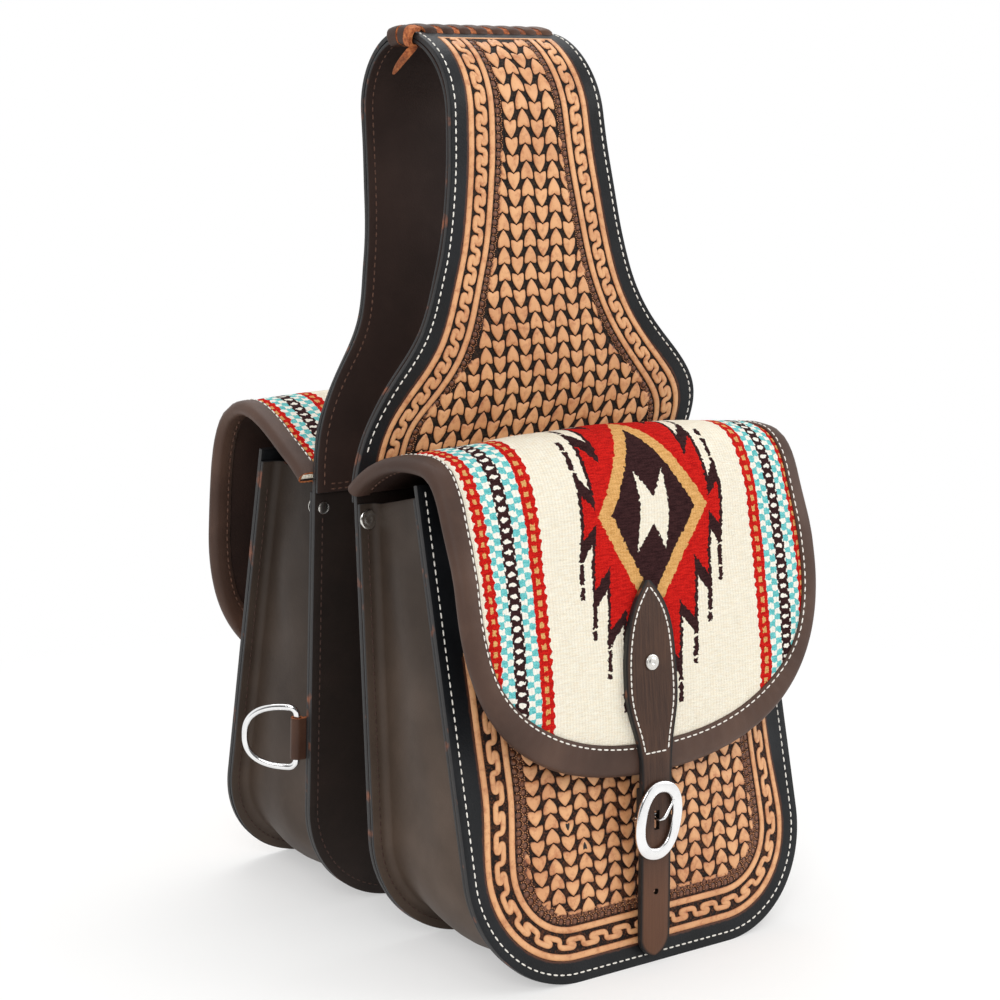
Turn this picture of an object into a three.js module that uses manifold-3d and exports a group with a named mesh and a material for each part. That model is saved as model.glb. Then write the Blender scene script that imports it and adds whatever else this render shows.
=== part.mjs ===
// A pair of leather saddle bags hung from a tooled yoke, with woven wool flaps, buckled straps and D-rings.
// X is the width, the front bag faces -Y and the back bag +Y, and both bags stand on the plane z = 0.
import * as THREE from 'three';
import { mergeVertices } from 'three/addons/utils/BufferGeometryUtils.js';
import Module from 'manifold-3d';

const wasm = await Module();
wasm.setup();

// Fit between neighbouring pieces, and how far a cut runs past a sheet's faces
const clearance = 0.3;
const cutPast = 1;

// Bag body
const bagWidth = 245;
const bagCornerRadius = 67;
const backThickness = 3.2;
const backLean = 0.058;
const frontThickness = 3.2;
const seamHeight = 272;
const mouthRise = 11;
const frontLean = 0.225;
const mouthDepth = 63;
const frontBulge = 20;
const gussetThickness = 2.6;
const flangeWidth = 11;
const gussetDrop = 8;

// Yoke over the saddle
const seamHalfGap = 18.5;
const liningThickness = 2.2;
const liningLap = 8;
const yokeThickness = 3.2;
const yokeTopWidth = 105;
const archRadius = 44;
const archRise = 213;
const yokeShoulder = 22;
const yokeFlareMiddle = 92;
const yokeFlareWidth = 168;
const yokeSideLean = 21;
const yokeLeanRise = 42;
const yokeSway = 8;
const yokeSwayRise = 52;
const yokeSwayFade = 127;

// Tooled pattern
const heartWidth = 8.4;
const heartHeight = 9.4;
const heartPitch = 9.8;
const heartRow = 10.4;
const heartRelief = 1;
const reliefSink = 0.7;
const yokeMargin = 11;
const frontMargin = 15;
const borderBand = 17.5;
const borderStipple = 5;
const bandRelief = 0.8;
const toolingFoot = 30;
const toolingTopGap = 15;
const frontToolingTop = 175;

// Flap
const flapWidth = 260;
const hingeRise = 4;
const flapCrestReach = 70;
const flapCrestRise = 19;
const flapShoulderDrop = 21;
const flapShoulderStandOff = 21;
const flapStandOff = 14;
const flapFootGap = 8;
const flapCornerHeight = 112;
const bindingThickness = 1.4;
const bindingWidth = 19;
const woolThickness = 3.4;
const flapLiningThickness = 1.7;

// Closing strap and buckle
const strapThickness = 3;
const strapWidth = 21.5;
const strapHeadWidth = 37;
const strapHeadTop = 112;
const strapHeadMiddle = 53;
const strapTailHeight = 5;
const strapTailTaper = 12;
const strapTip = 1;
const holePitch = 21.5;
const holeRadius = 1.7;
const buckleHeight = 87;
const buckleOuterWidth = 32.8;
const buckleOuterHeight = 46;
const buckleRimWidth = 6;
const buckleRimThickness = 3;
const barRadius = 1.7;
const tongueWidth = 3;
const tongueEyeWall = 1.2;
const chapeWidth = 20;
const chapeLeather = 1.6;
const chapeLength = 18;
const snapRadius = 5;
const snapStudThickness = 1.8;

// Rivets
const rivetShank = 2;
const strapRivetHead = 4.2;
const strapRivetRise = 63;
const cornerRivetHead = 5;
const cornerRivetDrop = 17;
const rivetHeadHeight = 1.6;
const rivetBurr = 3.6;
const rivetBurrHeight = 1;

// D-ring and its tab
const ringHeight = 111;
const ringWire = 2;
const ringWidth = 38;
const ringReach = 33;
const ringBend = 5;
const ringSwing = THREE.MathUtils.degToRad(42);
const tabLeather = 1.6;
const tabHeight = 24;

// Lacing of the two yoke halves
const laceWraps = 8;
const laceWidth = 6;
const laceThickness = 1.6;
const laceInset = 7;
const laceEndGap = 7;
const laceTail = 24;

// Pull of the curves' ends, as shares of the length they act on
const yokeHeelPull = 0.13;
const yokeHeadPull = 0.4;
const yokeShoulderPull = 0.5;
const yokeFlarePull = 0.4;
const yokeNeckPull = 0.6;
const yokeTopPull = 0.45;
const yokeFlareSlope = 0.62;
const heartTip = 0.52;
const heartLobe = -0.2;
const heartNotch = -0.3;
const flapHeelShare = 0.2;
const flapHeelRise = 12;
const flapCrestPull = 0.6;
const flapRoundPull = 0.5;
const flapShoulderPull = 0.8;
const flapSidePull = 0.6;
const flapShoulderSlope = 0.27;
const flapFrontPull = 0.5;
const flapCornerPull = 0.67;
const flapFootPull = 0.65;
const strapTipPull = 0.3;
const strapTipRise = 0.85;
const strapHeadPull = 1.5;
const strapNeckPull = 0.6;
const strapTailWidth = 0.35;
const rivetCrown = 0.7;
const rimCrown = 0.5;
const rimFoot = 0.7;
const rimEdge = 0.4;
const tongueRest = 0.25;

// Fineness of round shapes
const roundSteps = 10;
const holeSteps = 8;
const curveSteps = 5;
const bendStep = 25;
const archStep = 12;
const flapStep = 18;
const frontColumns = 6;

function leather(color, roughness = 0.6) {
  return new THREE.MeshStandardMaterial({ color, roughness, metalness: 0 });
}

function metal(color, roughness = 0.25) {
  return new THREE.MeshStandardMaterial({ color, roughness, metalness: 1 });
}

// A point x across, u out from the middle of the pair and z up, for the bag that faces -Y.
const at = (x, u, z) => new THREE.Vector3(x, -u, z);

// A closed body from points and triangles, turned so that its faces point out.
function solid(points, faces) {
  let volume = 0;
  for (const [a, b, c] of faces) {
    volume += points[a].dot(new THREE.Vector3().crossVectors(points[b], points[c]));
  }
  const geometry = new THREE.BufferGeometry().setFromPoints(points);
  geometry.setIndex(faces.flatMap(([a, b, c]) => (volume > 0 ? [a, b, c] : [a, c, b])));
  geometry.computeVertexNormals();
  return geometry;
}

// A body through a row of like sections: outline is the section's flat shape for its two ends, and a row
// without one closes on itself.
function loft(rows, outline) {
  const count = rows[0].length;
  const points = rows.flat();
  const faces = [];
  const spans = outline ? rows.length - 1 : rows.length;
  for (let row = 0; row < spans; row++) {
    const here = row * count;
    const next = ((row + 1) % rows.length) * count;
    for (let i = 0; i < count; i++) {
      const j = (i + 1) % count;
      faces.push([here + i, here + j, next + j], [here + i, next + j, next + i]);
    }
  }
  if (outline) {
    const last = points.length - count;
    const turned = THREE.ShapeUtils.isClockWise(outline);
    for (const face of THREE.ShapeUtils.triangulateShape(outline, [])) {
      const [a, b, c] = turned ? [face[0], face[2], face[1]] : face;
      faces.push([a, c, b], [last + a, last + b, last + c]);
    }
  }
  return solid(points, faces);
}

// A flat outline raised through a curved surface: place(x, s, n) is the point n above the surface.
function prism(outline, place, low, high) {
  return loft([low, high].map((n) => outline.map((p) => place(p.x, p.y, n))), outline);
}

// A sheet on a curved surface between two edges that run side by side, a span for every pair of points.
function strip(near, far, place, low, high) {
  const rows = near.map((p, i) => {
    const q = far[i];
    return [place(p.x, p.y, low), place(q.x, q.y, low), place(q.x, q.y, high), place(p.x, p.y, high)];
  });
  return loft(rows, [vec(0, 0), vec(1, 0), vec(1, 1), vec(0, 1)]);
}

const mirrored = (points) => points.map((p) => vec(-p.x, p.y));

function bare(geometry) {
  const copy = geometry.clone();
  for (const name of Object.keys(copy.attributes)) if (name !== 'position') copy.deleteAttribute(name);
  return mergeVertices(copy);
}

function toManifold(geometry) {
  const { attributes, index } = bare(geometry);
  return new wasm.Manifold(new wasm.Mesh({
    numProp: 3,
    vertProperties: new Float32Array(attributes.position.array),
    triVerts: new Uint32Array(index.array),
  }));
}

function fromManifold(body) {
  const { vertProperties, triVerts } = body.getMesh();
  const geometry = new THREE.BufferGeometry();
  geometry.setAttribute('position', new THREE.BufferAttribute(new Float32Array(vertProperties), 3));
  geometry.setIndex([...triVerts]);
  geometry.computeVertexNormals();
  return geometry;
}

// Joins the added bodies to the first and then cuts the taken ones away.
function carve(first, { add = [], cut = [] }) {
  let body = toManifold(first);
  for (const geometry of add) body = body.add(toManifold(geometry));
  for (const geometry of cut) body = body.subtract(toManifold(geometry));
  return fromManifold(body);
}

// A flat outline with its holes, given the stated depth.
function extruded(shape, depth) {
  return new THREE.ExtrudeGeometry(shape, { depth, bevelEnabled: false, curveSegments: curveSteps });
}

function mesh(name, geometry, material) {
  const piece = new THREE.Mesh(geometry, material);
  piece.name = name;
  return piece;
}

// Points along a flat curve, moved sideways by inset to the left of its direction.
function offsetPoints(curve, inset, steps, from = 0, to = 1) {
  return Array.from({ length: steps + 1 }, (_, i) => {
    const t = THREE.MathUtils.lerp(from, to, i / steps);
    const tangent = curve.getTangentAt(t);
    return curve.getPointAt(t).add(new THREE.Vector2(-tangent.y, tangent.x).multiplyScalar(inset));
  });
}

// The corner points of a flat path, each once.
function cornersOf(path) {
  const points = path.getPoints(curveSteps);
  return points.filter((p, i) => i === 0 || p.distanceTo(points[i - 1]) > clearance / 10);
}

const vec = (x, y) => new THREE.Vector2(x, y);
const halfBag = bagWidth / 2;
const frontTop = seamHeight + mouthRise;
const gussetTopBack = seamHeight - gussetDrop;
const gussetTopFront = frontTop - gussetDrop;
const archHeight = seamHeight + archRise;
const hingeHeight = seamHeight + hingeRise;
const flapBottom = buckleHeight + chapeLength + flapFootGap;

// The bag's surfaces: the back panel's inner and outer faces, and the front panel's face with its bulge.
const backInner = (z) => seamHalfGap + liningThickness + clearance + backLean * (seamHeight - z);
const backOuter = (z) => backInner(z) + backThickness;
const frontPlane = (z) => backOuter(frontTop) + mouthDepth + frontLean * (frontTop - z);
const sewnMargin = flangeWidth + gussetThickness;
function bulgeAt(x, z) {
  const across = Math.min(1, Math.abs(x) / (halfBag - sewnMargin));
  const up = THREE.MathUtils.clamp((z - sewnMargin) / (frontTop - sewnMargin), 0, 1);
  return frontBulge * (1 - across ** 2) * (1 - (1 - up) ** 2);
}
const frontFace = (x, z) => frontPlane(z) + bulgeAt(x, z);
const onBack = (x, s, n) => at(x, backOuter(s) + n, s);
const onFront = (x, s, n) => at(x, frontFace(x, s) + n, s);

// The bag's outline from one upper corner down, around the bottom and up the other side.
function bagEdge(top) {
  const edge = new THREE.Path();
  edge.moveTo(-halfBag, top);
  edge.lineTo(-halfBag, bagCornerRadius);
  edge.absarc(-halfBag + bagCornerRadius, bagCornerRadius, bagCornerRadius, Math.PI, 1.5 * Math.PI, false);
  edge.lineTo(halfBag - bagCornerRadius, 0);
  edge.absarc(halfBag - bagCornerRadius, bagCornerRadius, bagCornerRadius, 1.5 * Math.PI, 2 * Math.PI, false);
  edge.lineTo(halfBag, top);
  return edge;
}

function circle(x, y, radius) {
  return Array.from({ length: holeSteps }, (_, i) => {
    const angle = 2 * Math.PI * i / holeSteps;
    return vec(x + radius * Math.cos(angle), y + radius * Math.sin(angle));
  });
}

function roundHole(x, y, radius) {
  return new THREE.Path(circle(x, y, radius).reverse());
}

// The yoke's side view: up the back panel's plane past the seam, out to the arch and over to the ridge.
const yokeLine = (() => {
  const foot = (z) => vec(backInner(z) - clearance / 2, z);
  const rise = archHeight - seamHeight;
  const line = new THREE.CurvePath();
  line.add(new THREE.LineCurve(foot(seamHeight - liningLap), foot(seamHeight)));
  line.add(new THREE.CubicBezierCurve(foot(seamHeight), foot(seamHeight).add(vec(0, rise * yokeHeelPull)),
    vec(archRadius, archHeight - rise * yokeHeadPull), vec(archRadius, archHeight)));
  const ridgeAngle = Math.acos(clearance / 2 / archRadius);
  line.add(new THREE.EllipseCurve(0, archHeight, archRadius, archRadius, 0, ridgeAngle, false));
  return line;
})();
const yokeLength = yokeLine.getLength();
const archStart = yokeLength - yokeLine.curves[2].getLength();

// How much of the yoke's lean to one side is reached at s: it first sways the other way above the seam.
const leanAt = (s) => {
  const { smoothstep } = THREE.MathUtils;
  const lean = smoothstep(s, liningLap + yokeLeanRise, yokeLength);
  const sway = smoothstep(s, liningLap, liningLap + yokeSwayRise)
    - smoothstep(s, liningLap + yokeSwayRise, liningLap + yokeSwayFade);
  return lean - sway * yokeSway / yokeSideLean;
};

// A point on one half of the yoke, s up from the lining's foot and n outside its middle layer.
function onYoke(sideLean) {
  return (x, s, n) => {
    const t = THREE.MathUtils.clamp(s / yokeLength, 0, 1);
    const tangent = yokeLine.getTangentAt(t);
    const point = yokeLine.getPointAt(t).add(vec(tangent.y, -tangent.x).multiplyScalar(n));
    return at(x + sideLean * leanAt(s), point.x, point.y);
  };
}
const yokeFace = clearance / 2 + yokeThickness;

// The yoke's right edge laid flat, from its foot to the ridge.
function yokeEdge(foot) {
  const shoulder = vec(halfBag, liningLap + yokeShoulder);
  const flare = vec(yokeFlareWidth / 2, liningLap + yokeFlareMiddle);
  const top = vec(yokeTopWidth / 2, yokeLength);
  const flareHeight = flare.y - shoulder.y;
  const slope = vec(-yokeFlareSlope, 1).normalize();
  const edge = new THREE.CurvePath();
  edge.add(new THREE.LineCurve(vec(halfBag, foot), shoulder));
  edge.add(new THREE.CubicBezierCurve(shoulder, shoulder.clone().add(vec(0, flareHeight * yokeShoulderPull)),
    flare.clone().addScaledVector(slope, -flareHeight * yokeFlarePull), flare));
  edge.add(new THREE.CubicBezierCurve(flare, flare.clone().addScaledVector(slope, flareHeight * yokeNeckPull),
    vec(top.x, top.y - (top.y - flare.y) * yokeTopPull), top));
  return edge;
}

function yokeHalfWidth(s) {
  const points = offsetPoints(yokeEdge(0), 0, Math.ceil(yokeLength / archStep) * 2);
  const above = Math.max(1, points.findIndex((p) => p.y >= s));
  const [low, high] = [points[above - 1], points[above]];
  return THREE.MathUtils.mapLinear(s, low.y, high.y, low.x, high.x);
}

// Where a sheet on the yoke bends, from its foot to the ridge.
function yokeStations(foot) {
  const stations = foot < liningLap ? [foot, liningLap] : [foot];
  for (const [from, to, step] of [[liningLap, archStart, bendStep], [archStart, yokeLength, archStep]]) {
    const count = Math.ceil((to - from) / step);
    for (let i = 1; i <= count; i++) stations.push(THREE.MathUtils.lerp(from, to, i / count));
  }
  return stations;
}

// Where the lace passes through each half, across the ridge from one hole to the next.
const lacePitch = (yokeTopWidth - 2 * laceEndGap - laceWidth) / (laceWraps - 0.5);
const laceStart = -yokeTopWidth / 2 + laceEndGap + laceWidth / 2;
const laceHoles = Array.from({ length: laceWraps }, (_, i) => laceStart + i * lacePitch);

function yokeSheet(foot, laceShift, place, low, high) {
  const edge = yokeStations(foot).map((s) => vec(yokeHalfWidth(s), s));
  const halfSlot = laceWidth / 2 + clearance;
  const reach = laceThickness / 2 + clearance;
  const slots = laceHoles.map((x) => {
    const corners = [vec(-1, -1), vec(1, -1), vec(1, 1), vec(-1, 1)];
    const middle = vec(x + laceShift, yokeLength - laceInset);
    const outline = corners.map((p) => vec(middle.x + p.x * halfSlot, middle.y + p.y * reach));
    return prism(outline, place, low - cutPast, high + cutPast);
  });
  return carve(strip(mirrored(edge), edge, place, low, high), { cut: slots });
}

// A low pyramid on a surface, over a flat outline with its peak above the outline's middle.
function peak(outline, place, base, relief) {
  const middle = outline.reduce((sum, p) => sum.add(p), vec(0, 0)).divideScalar(outline.length);
  const spread = (relief + reliefSink) / relief;
  const rim = outline.map((p) => p.clone().sub(middle).multiplyScalar(spread).add(middle));
  const points = rim.map((p) => place(p.x, p.y, base - reliefSink));
  points.push(place(middle.x, middle.y, base + relief));
  const top = outline.length;
  const faces = outline.map((_, i) => [i, (i + 1) % top, top]);
  const turned = THREE.ShapeUtils.isClockWise(outline);
  for (const face of THREE.ShapeUtils.triangulateShape(outline, [])) {
    faces.push(turned ? face : [face[0], face[2], face[1]]);
  }
  return solid(points, faces);
}

// One heart of the tooling, pointing up or down.
function heartOutline(x, s, pointing) {
  const half = heartWidth / 2;
  return [vec(0, heartTip), vec(-1, heartLobe), vec(0, heartNotch), vec(1, heartLobe)]
    .map((p) => vec(x + p.x * half, s + pointing * p.y * heartHeight));
}

// Columns of hearts, every other column pointing down and set half a row off, where inside(x, s) allows them.
function hearts(place, base, from, to, reach, inside) {
  const bodies = [];
  const columns = Math.floor(reach / heartPitch);
  for (let column = -columns; column <= columns; column++) {
    const pointing = column % 2 === 0 ? 1 : -1;
    const start = from + (column % 2 === 0 ? 0 : heartRow / 2);
    for (let s = start; s <= to; s += heartRow) {
      const x = column * heartPitch;
      if (inside(x, s)) bodies.push(peak(heartOutline(x, s, pointing), place, base, heartRelief));
    }
  }
  return bodies;
}

// A raised border band along an edge.
function border(edge, margin, place, base, step, from = 0, to = 1) {
  const steps = Math.ceil(edge.getLength() * (to - from) / step);
  const outer = offsetPoints(edge, margin, steps, from, to);
  const inner = offsetPoints(edge, margin + borderBand, steps, from, to);
  return strip(outer, inner, place, base - reliefSink, base + bandRelief);
}
const borderWidth = borderBand + borderStipple;

function yokePanel(name, sideLean, laceShift) {
  const place = onYoke(sideLean);
  const foot = liningLap + clearance;
  const body = yokeSheet(foot, laceShift, place, clearance / 2, yokeFace);
  const edge = yokeEdge(foot);
  const length = edge.getLength();
  const [from, to] = [toolingFoot / length, 1 - toolingTopGap / length];
  const otherSide = (x, s, n) => place(-x, s, n);
  const field = (x, s) => {
    const slope = (yokeHalfWidth(s + heartRow) - yokeHalfWidth(s - heartRow)) / (2 * heartRow);
    const inset = (yokeMargin + borderWidth) * Math.hypot(1, slope);
    return Math.abs(x) + heartWidth / 2 < yokeHalfWidth(s) - inset;
  };
  const [low, high] = [liningLap + toolingFoot, yokeLength - toolingTopGap - heartHeight / 2];
  const relief = [
    border(edge, yokeMargin, place, yokeFace, archStep, from, to),
    border(edge, yokeMargin, otherSide, yokeFace, archStep, from, to),
    ...hearts(place, yokeFace, low, high, halfBag, field),
  ];
  return mesh(name, carve(body, { add: relief }), leather(0xc8925f));
}

function yokeLining(name, sideLean, laceShift) {
  const body = yokeSheet(0, laceShift, onYoke(sideLean), -clearance / 2 - liningThickness, -clearance / 2);
  return mesh(name, body, leather(0x2e211d, 0.7));
}

// The lace winds over the ridge and back underneath, through one hole of each half for every wrap, and its
// pointed end hangs inside.
function ridgeLace() {
  const over = archRadius + yokeFace + clearance + laceThickness / 2;
  const under = archRadius - clearance / 2 - liningThickness - clearance - laceThickness / 2;
  const turn = laceInset / archRadius;
  const stops = [];
  laceHoles.forEach((x, i) => {
    const across = x + lacePitch / 2;
    const next = i + 1 < laceWraps ? x + lacePitch : across;
    const ends = [[-turn, under, x], [-turn, over, x], [0, over, (x + across) / 2], [turn, over, across],
      [turn, under, across], [0, under, (across + next) / 2]];
    stops.push(...ends);
  });
  const path = stops.map(([angle, radius, x]) => ({
    x: x - leanAt(yokeLength - laceInset) * yokeSideLean,
    flat: vec(radius * Math.sin(angle), archHeight + radius * Math.cos(angle)),
  }));
  const first = path[0];
  const tip = first.flat.clone().add(vec(2 * laceThickness, -laceTail));
  path.unshift({ x: first.x - laceWidth / 2, flat: tip });
  const half = laceThickness / 2;
  const rows = path.map((stop, i) => {
    const before = path[Math.max(0, i - 1)].flat;
    const after = path[Math.min(path.length - 1, i + 1)].flat;
    const into = stop.flat.clone().sub(before).normalize();
    const out = after.clone().sub(stop.flat).normalize();
    const mean = into.clone().add(out).normalize();
    const side = vec(-mean.y, mean.x);
    const square = vec(-(into.lengthSq() ? into : out).y, (into.lengthSq() ? into : out).x);
    const grow = half / Math.max(0.5, side.dot(square));
    const width = i === 0 ? laceThickness : laceWidth;
    return [[-1, -1], [1, -1], [1, 1], [-1, 1]].map(([across, thick]) => {
      const p = stop.flat.clone().addScaledVector(side, thick * grow);
      return new THREE.Vector3(stop.x + across * width / 2, p.x, p.y);
    });
  });
  const outline = [vec(-1, -1), vec(1, -1), vec(1, 1), vec(-1, 1)];
  return mesh('ridge_lace', loft(rows, outline), leather(0x4a3228));
}

// Bag body
const cornerRivetX = halfBag - flangeWidth / 2;
const cornerRivetZ = seamHeight - cornerRivetDrop;

function rivetBores() {
  const reach = backThickness + gussetThickness + cutPast;
  const radius = rivetShank + 2 * clearance;
  const holes = [-1, 1].map((side) => circle(side * cornerRivetX, cornerRivetZ, radius));
  return holes.map((hole) => prism(hole, onBack, -reach, reach));
}

function bagBackPanel(name) {
  const body = prism(cornersOf(bagEdge(seamHeight)), onBack, -backThickness, 0);
  return mesh(name, carve(body, { cut: rivetBores() }), leather(0x2e211d, 0.65));
}

function bagFrontPanel(name) {
  const side = cornersOf(bagEdge(frontTop)).filter((p) => p.x > 0);
  const levels = side.filter((p) => p.y < bagCornerRadius);
  const steps = Math.ceil((frontTop - bagCornerRadius) / bendStep / 2);
  for (let i = 0; i <= steps; i++) {
    levels.push(vec(halfBag, THREE.MathUtils.lerp(bagCornerRadius, frontTop, i / steps)));
  }
  const across = Array.from({ length: frontColumns + 1 }, (_, i) => 2 * i / frontColumns - 1);
  const [inner, outer] = [0, 1].map((side) => across.map((share) => vec(share, side)));
  const section = [...inner, ...outer.reverse()];
  const rows = levels.map((p) => section.map((q) => onFront(q.x * p.x, p.y, (q.y - 1) * frontThickness)));
  const body = loft(rows, section);
  const edge = bagEdge(frontToolingTop);
  const fieldEdge = frontMargin + borderWidth + heartWidth / 2;
  const inside = (x, z) => {
    const toSide = halfBag - Math.abs(x);
    const inCorner = toSide < bagCornerRadius && z < bagCornerRadius;
    const toEdge = inCorner ? bagCornerRadius - Math.hypot(bagCornerRadius - toSide, bagCornerRadius - z)
      : Math.min(toSide, z);
    const underSnap = Math.hypot(x, z - snapHeight) < snapRadius + heartHeight;
    const covered = z > flapBottom + (Math.abs(x) / halfBag) ** 3 * flapCornerHeight;
    return toEdge > fieldEdge && !underSnap && !covered;
  };
  const relief = [
    border(edge, frontMargin, onFront, 0, bendStep / 2),
    ...hearts(onFront, 0, fieldEdge, frontToolingTop, halfBag, inside),
  ];
  return mesh(name, carve(body, { add: relief }), leather(0xc8925f));
}

// The gusset runs down one side, along the bottom and up the other, turned out at both edges as flanges.
function gusset(name) {
  const edge = bagEdge(gussetTopFront);
  const web = flangeWidth;
  const inner = flangeWidth + gussetThickness;
  const section = [[0, 0, 0], [inner, 0, 0], [inner, 1, 0], [0, 1, 0], [0, 1, -1], [web, 1, -1], [web, 0, 1],
    [0, 0, 1]];
  const corners = cornersOf(edge);
  const rows = corners.map((corner, i) => {
    const before = corners[Math.max(0, i - 1)];
    const after = corners[Math.min(corners.length - 1, i + 1)];
    const along = after.clone().sub(before).normalize();
    const inward = vec(-along.y, along.x);
    const atMouth = i === 0 || i === corners.length - 1;
    return section.map(([inset, front, step]) => {
      const p = corner.clone().addScaledVector(inward, inset);
      const z = atMouth ? (front ? gussetTopFront : gussetTopBack) : p.y;
      const u = front ? frontPlane(z) - frontThickness - clearance : backOuter(z) + clearance;
      return at(p.x, u + step * gussetThickness, z);
    });
  });
  const outline = section.map(([inset, front, step]) =>
    vec(inset, front * mouthDepth + step * gussetThickness));
  return mesh(name, carve(loft(rows, outline), { cut: rivetBores() }), leather(0x453a34));
}

// A riveted head with its shank and the burr behind, along the local Y axis from the face it stands on.
function rivet(head, headHeight, grip) {
  const back = -grip - clearance;
  const front = clearance;
  const end = back - rivetBurrHeight;
  const profile = [vec(0, end), vec(rivetBurr, end), vec(rivetBurr, back), vec(rivetShank, back),
    vec(rivetShank, front), vec(head, front), vec(head, front + headHeight / 2),
    vec(head * rivetCrown, front + headHeight), vec(0, front + headHeight)];
  return new THREE.LatheGeometry(profile, roundSteps);
}

function cornerRivet(name, side) {
  const grip = gussetThickness + clearance + backThickness;
  const piece = mesh(name, rivet(cornerRivetHead, rivetHeadHeight, grip), metal(0xc9c7c2));
  const face = backOuter(cornerRivetZ) + clearance + gussetThickness;
  piece.position.copy(at(side * cornerRivetX, face, cornerRivetZ));
  piece.quaternion.setFromUnitVectors(new THREE.Vector3(0, 1, 0), at(0, 1, backLean).normalize());
  return piece;
}

// The flap's side view along its outer face: up from the hinge, over the mouth and down in front.
const flapDepth = bindingThickness * 2 + clearance * 3 + woolThickness + flapLiningThickness;
const flapLine = (() => {
  const near = yokeLine.getPointAt((hingeHeight - seamHeight + liningLap) / yokeLength);
  const hinge = vec(near.x + yokeFace + clearance, hingeHeight);
  const crest = vec(hinge.x + flapCrestReach, frontTop + flapCrestRise);
  const shoulderZ = frontTop - flapShoulderDrop;
  const shoulder = vec(frontFace(0, shoulderZ) + flapShoulderStandOff, shoulderZ);
  const foot = vec(frontFace(0, flapBottom) + flapStandOff, flapBottom);
  const round = shoulder.x - crest.x;
  const fall = shoulder.y - foot.y;
  const heel = vec(hinge.x + flapCrestReach * flapHeelShare, hinge.y + flapHeelRise);
  const lean = vec(-flapShoulderSlope, 1).multiplyScalar(round);
  const line = new THREE.CurvePath();
  line.add(new THREE.CubicBezierCurve(hinge, heel,
    vec(crest.x - flapCrestReach * (1 - flapCrestPull), crest.y), crest));
  line.add(new THREE.CubicBezierCurve(crest, vec(crest.x + round * flapRoundPull, crest.y),
    shoulder.clone().addScaledVector(lean, flapShoulderPull), shoulder));
  line.add(new THREE.CubicBezierCurve(shoulder, shoulder.clone().addScaledVector(lean, -flapSidePull),
    vec(foot.x, foot.y + fall * flapFrontPull), foot));
  line.add(new THREE.LineCurve(foot, vec(foot.x, 0)));
  return line;
})();
const flapLineLength = flapLine.getLength();
const flapLength = flapLineLength - flapBottom;
// A point on the flap, s along from the hinge and n outside its outer face.
function onFlap(x, s, n) {
  const t = THREE.MathUtils.clamp(s / flapLineLength, 0, 1);
  const tangent = flapLine.getTangentAt(t);
  const point = flapLine.getPointAt(t).add(vec(-tangent.y, tangent.x).multiplyScalar(n));
  return at(x, point.x, point.y);
}
const flapRise = (rise) => flapLength - rise;

// The flap's right edge laid flat, from the hinge around the rounded corner to the middle of its front.
const flapEdge = (() => {
  const half = flapWidth / 2;
  const corner = flapRise(flapCornerHeight);
  const edge = new THREE.CurvePath();
  edge.add(new THREE.LineCurve(vec(half, 0), vec(half, corner)));
  edge.add(new THREE.CubicBezierCurve(vec(half, corner),
    vec(half, corner + flapCornerHeight * flapCornerPull), vec(half * flapFootPull, flapLength),
    vec(0, flapLength)));
  return edge;
})();
const flapSteps = Math.ceil(flapEdge.getLength() / flapStep);

function flapSheet(inset, low, high) {
  const edge = offsetPoints(flapEdge, inset, flapSteps).slice(0, -1);
  const hole = circle(0, flapRise(strapRivetRise), rivetShank + 2 * clearance);
  const bore = prism(hole, onFlap, low - cutPast, high + cutPast);
  return carve(strip(mirrored(edge), edge, onFlap, low, high), { cut: [bore] });
}

const woolTop = -bindingThickness - clearance;
const woolBase = woolTop - woolThickness;
const flapLiningBase = woolBase - clearance - flapLiningThickness;

function flapBlanket(name) {
  const body = flapSheet(bindingThickness + clearance, woolBase, woolTop);
  return mesh(name, body, leather(0xefe4cc, 0.95));
}

function flapLining(name) {
  const body = flapSheet(bindingThickness + clearance, flapLiningBase, flapLiningBase + flapLiningThickness);
  return mesh(name, body, leather(0x3a2e29, 0.7));
}

// The binding folds over the flap's edge from the outside to the inside.
function flapBinding(name) {
  const [wide, fold, deep] = [bindingWidth, bindingThickness, flapDepth];
  const section = [vec(wide, 0), vec(0, 0), vec(0, -deep), vec(wide, -deep), vec(wide, fold - deep),
    vec(fold, fold - deep), vec(fold, -fold), vec(wide, -fold)];
  const lines = section.map((p) => {
    const right = offsetPoints(flapEdge, p.x, flapSteps);
    return [...mirrored(right), ...right.reverse().slice(1)].map((flat) => onFlap(flat.x, flat.y, p.y));
  });
  const rows = lines[0].map((_, i) => lines.map((line) => line[i]));
  return mesh(name, loft(rows, section), leather(0x4b3f39));
}

// Closing strap
const buckleRise = buckleHeight - flapBottom;
const strapNear = clearance;
const strapFar = strapNear + strapThickness;

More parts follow.
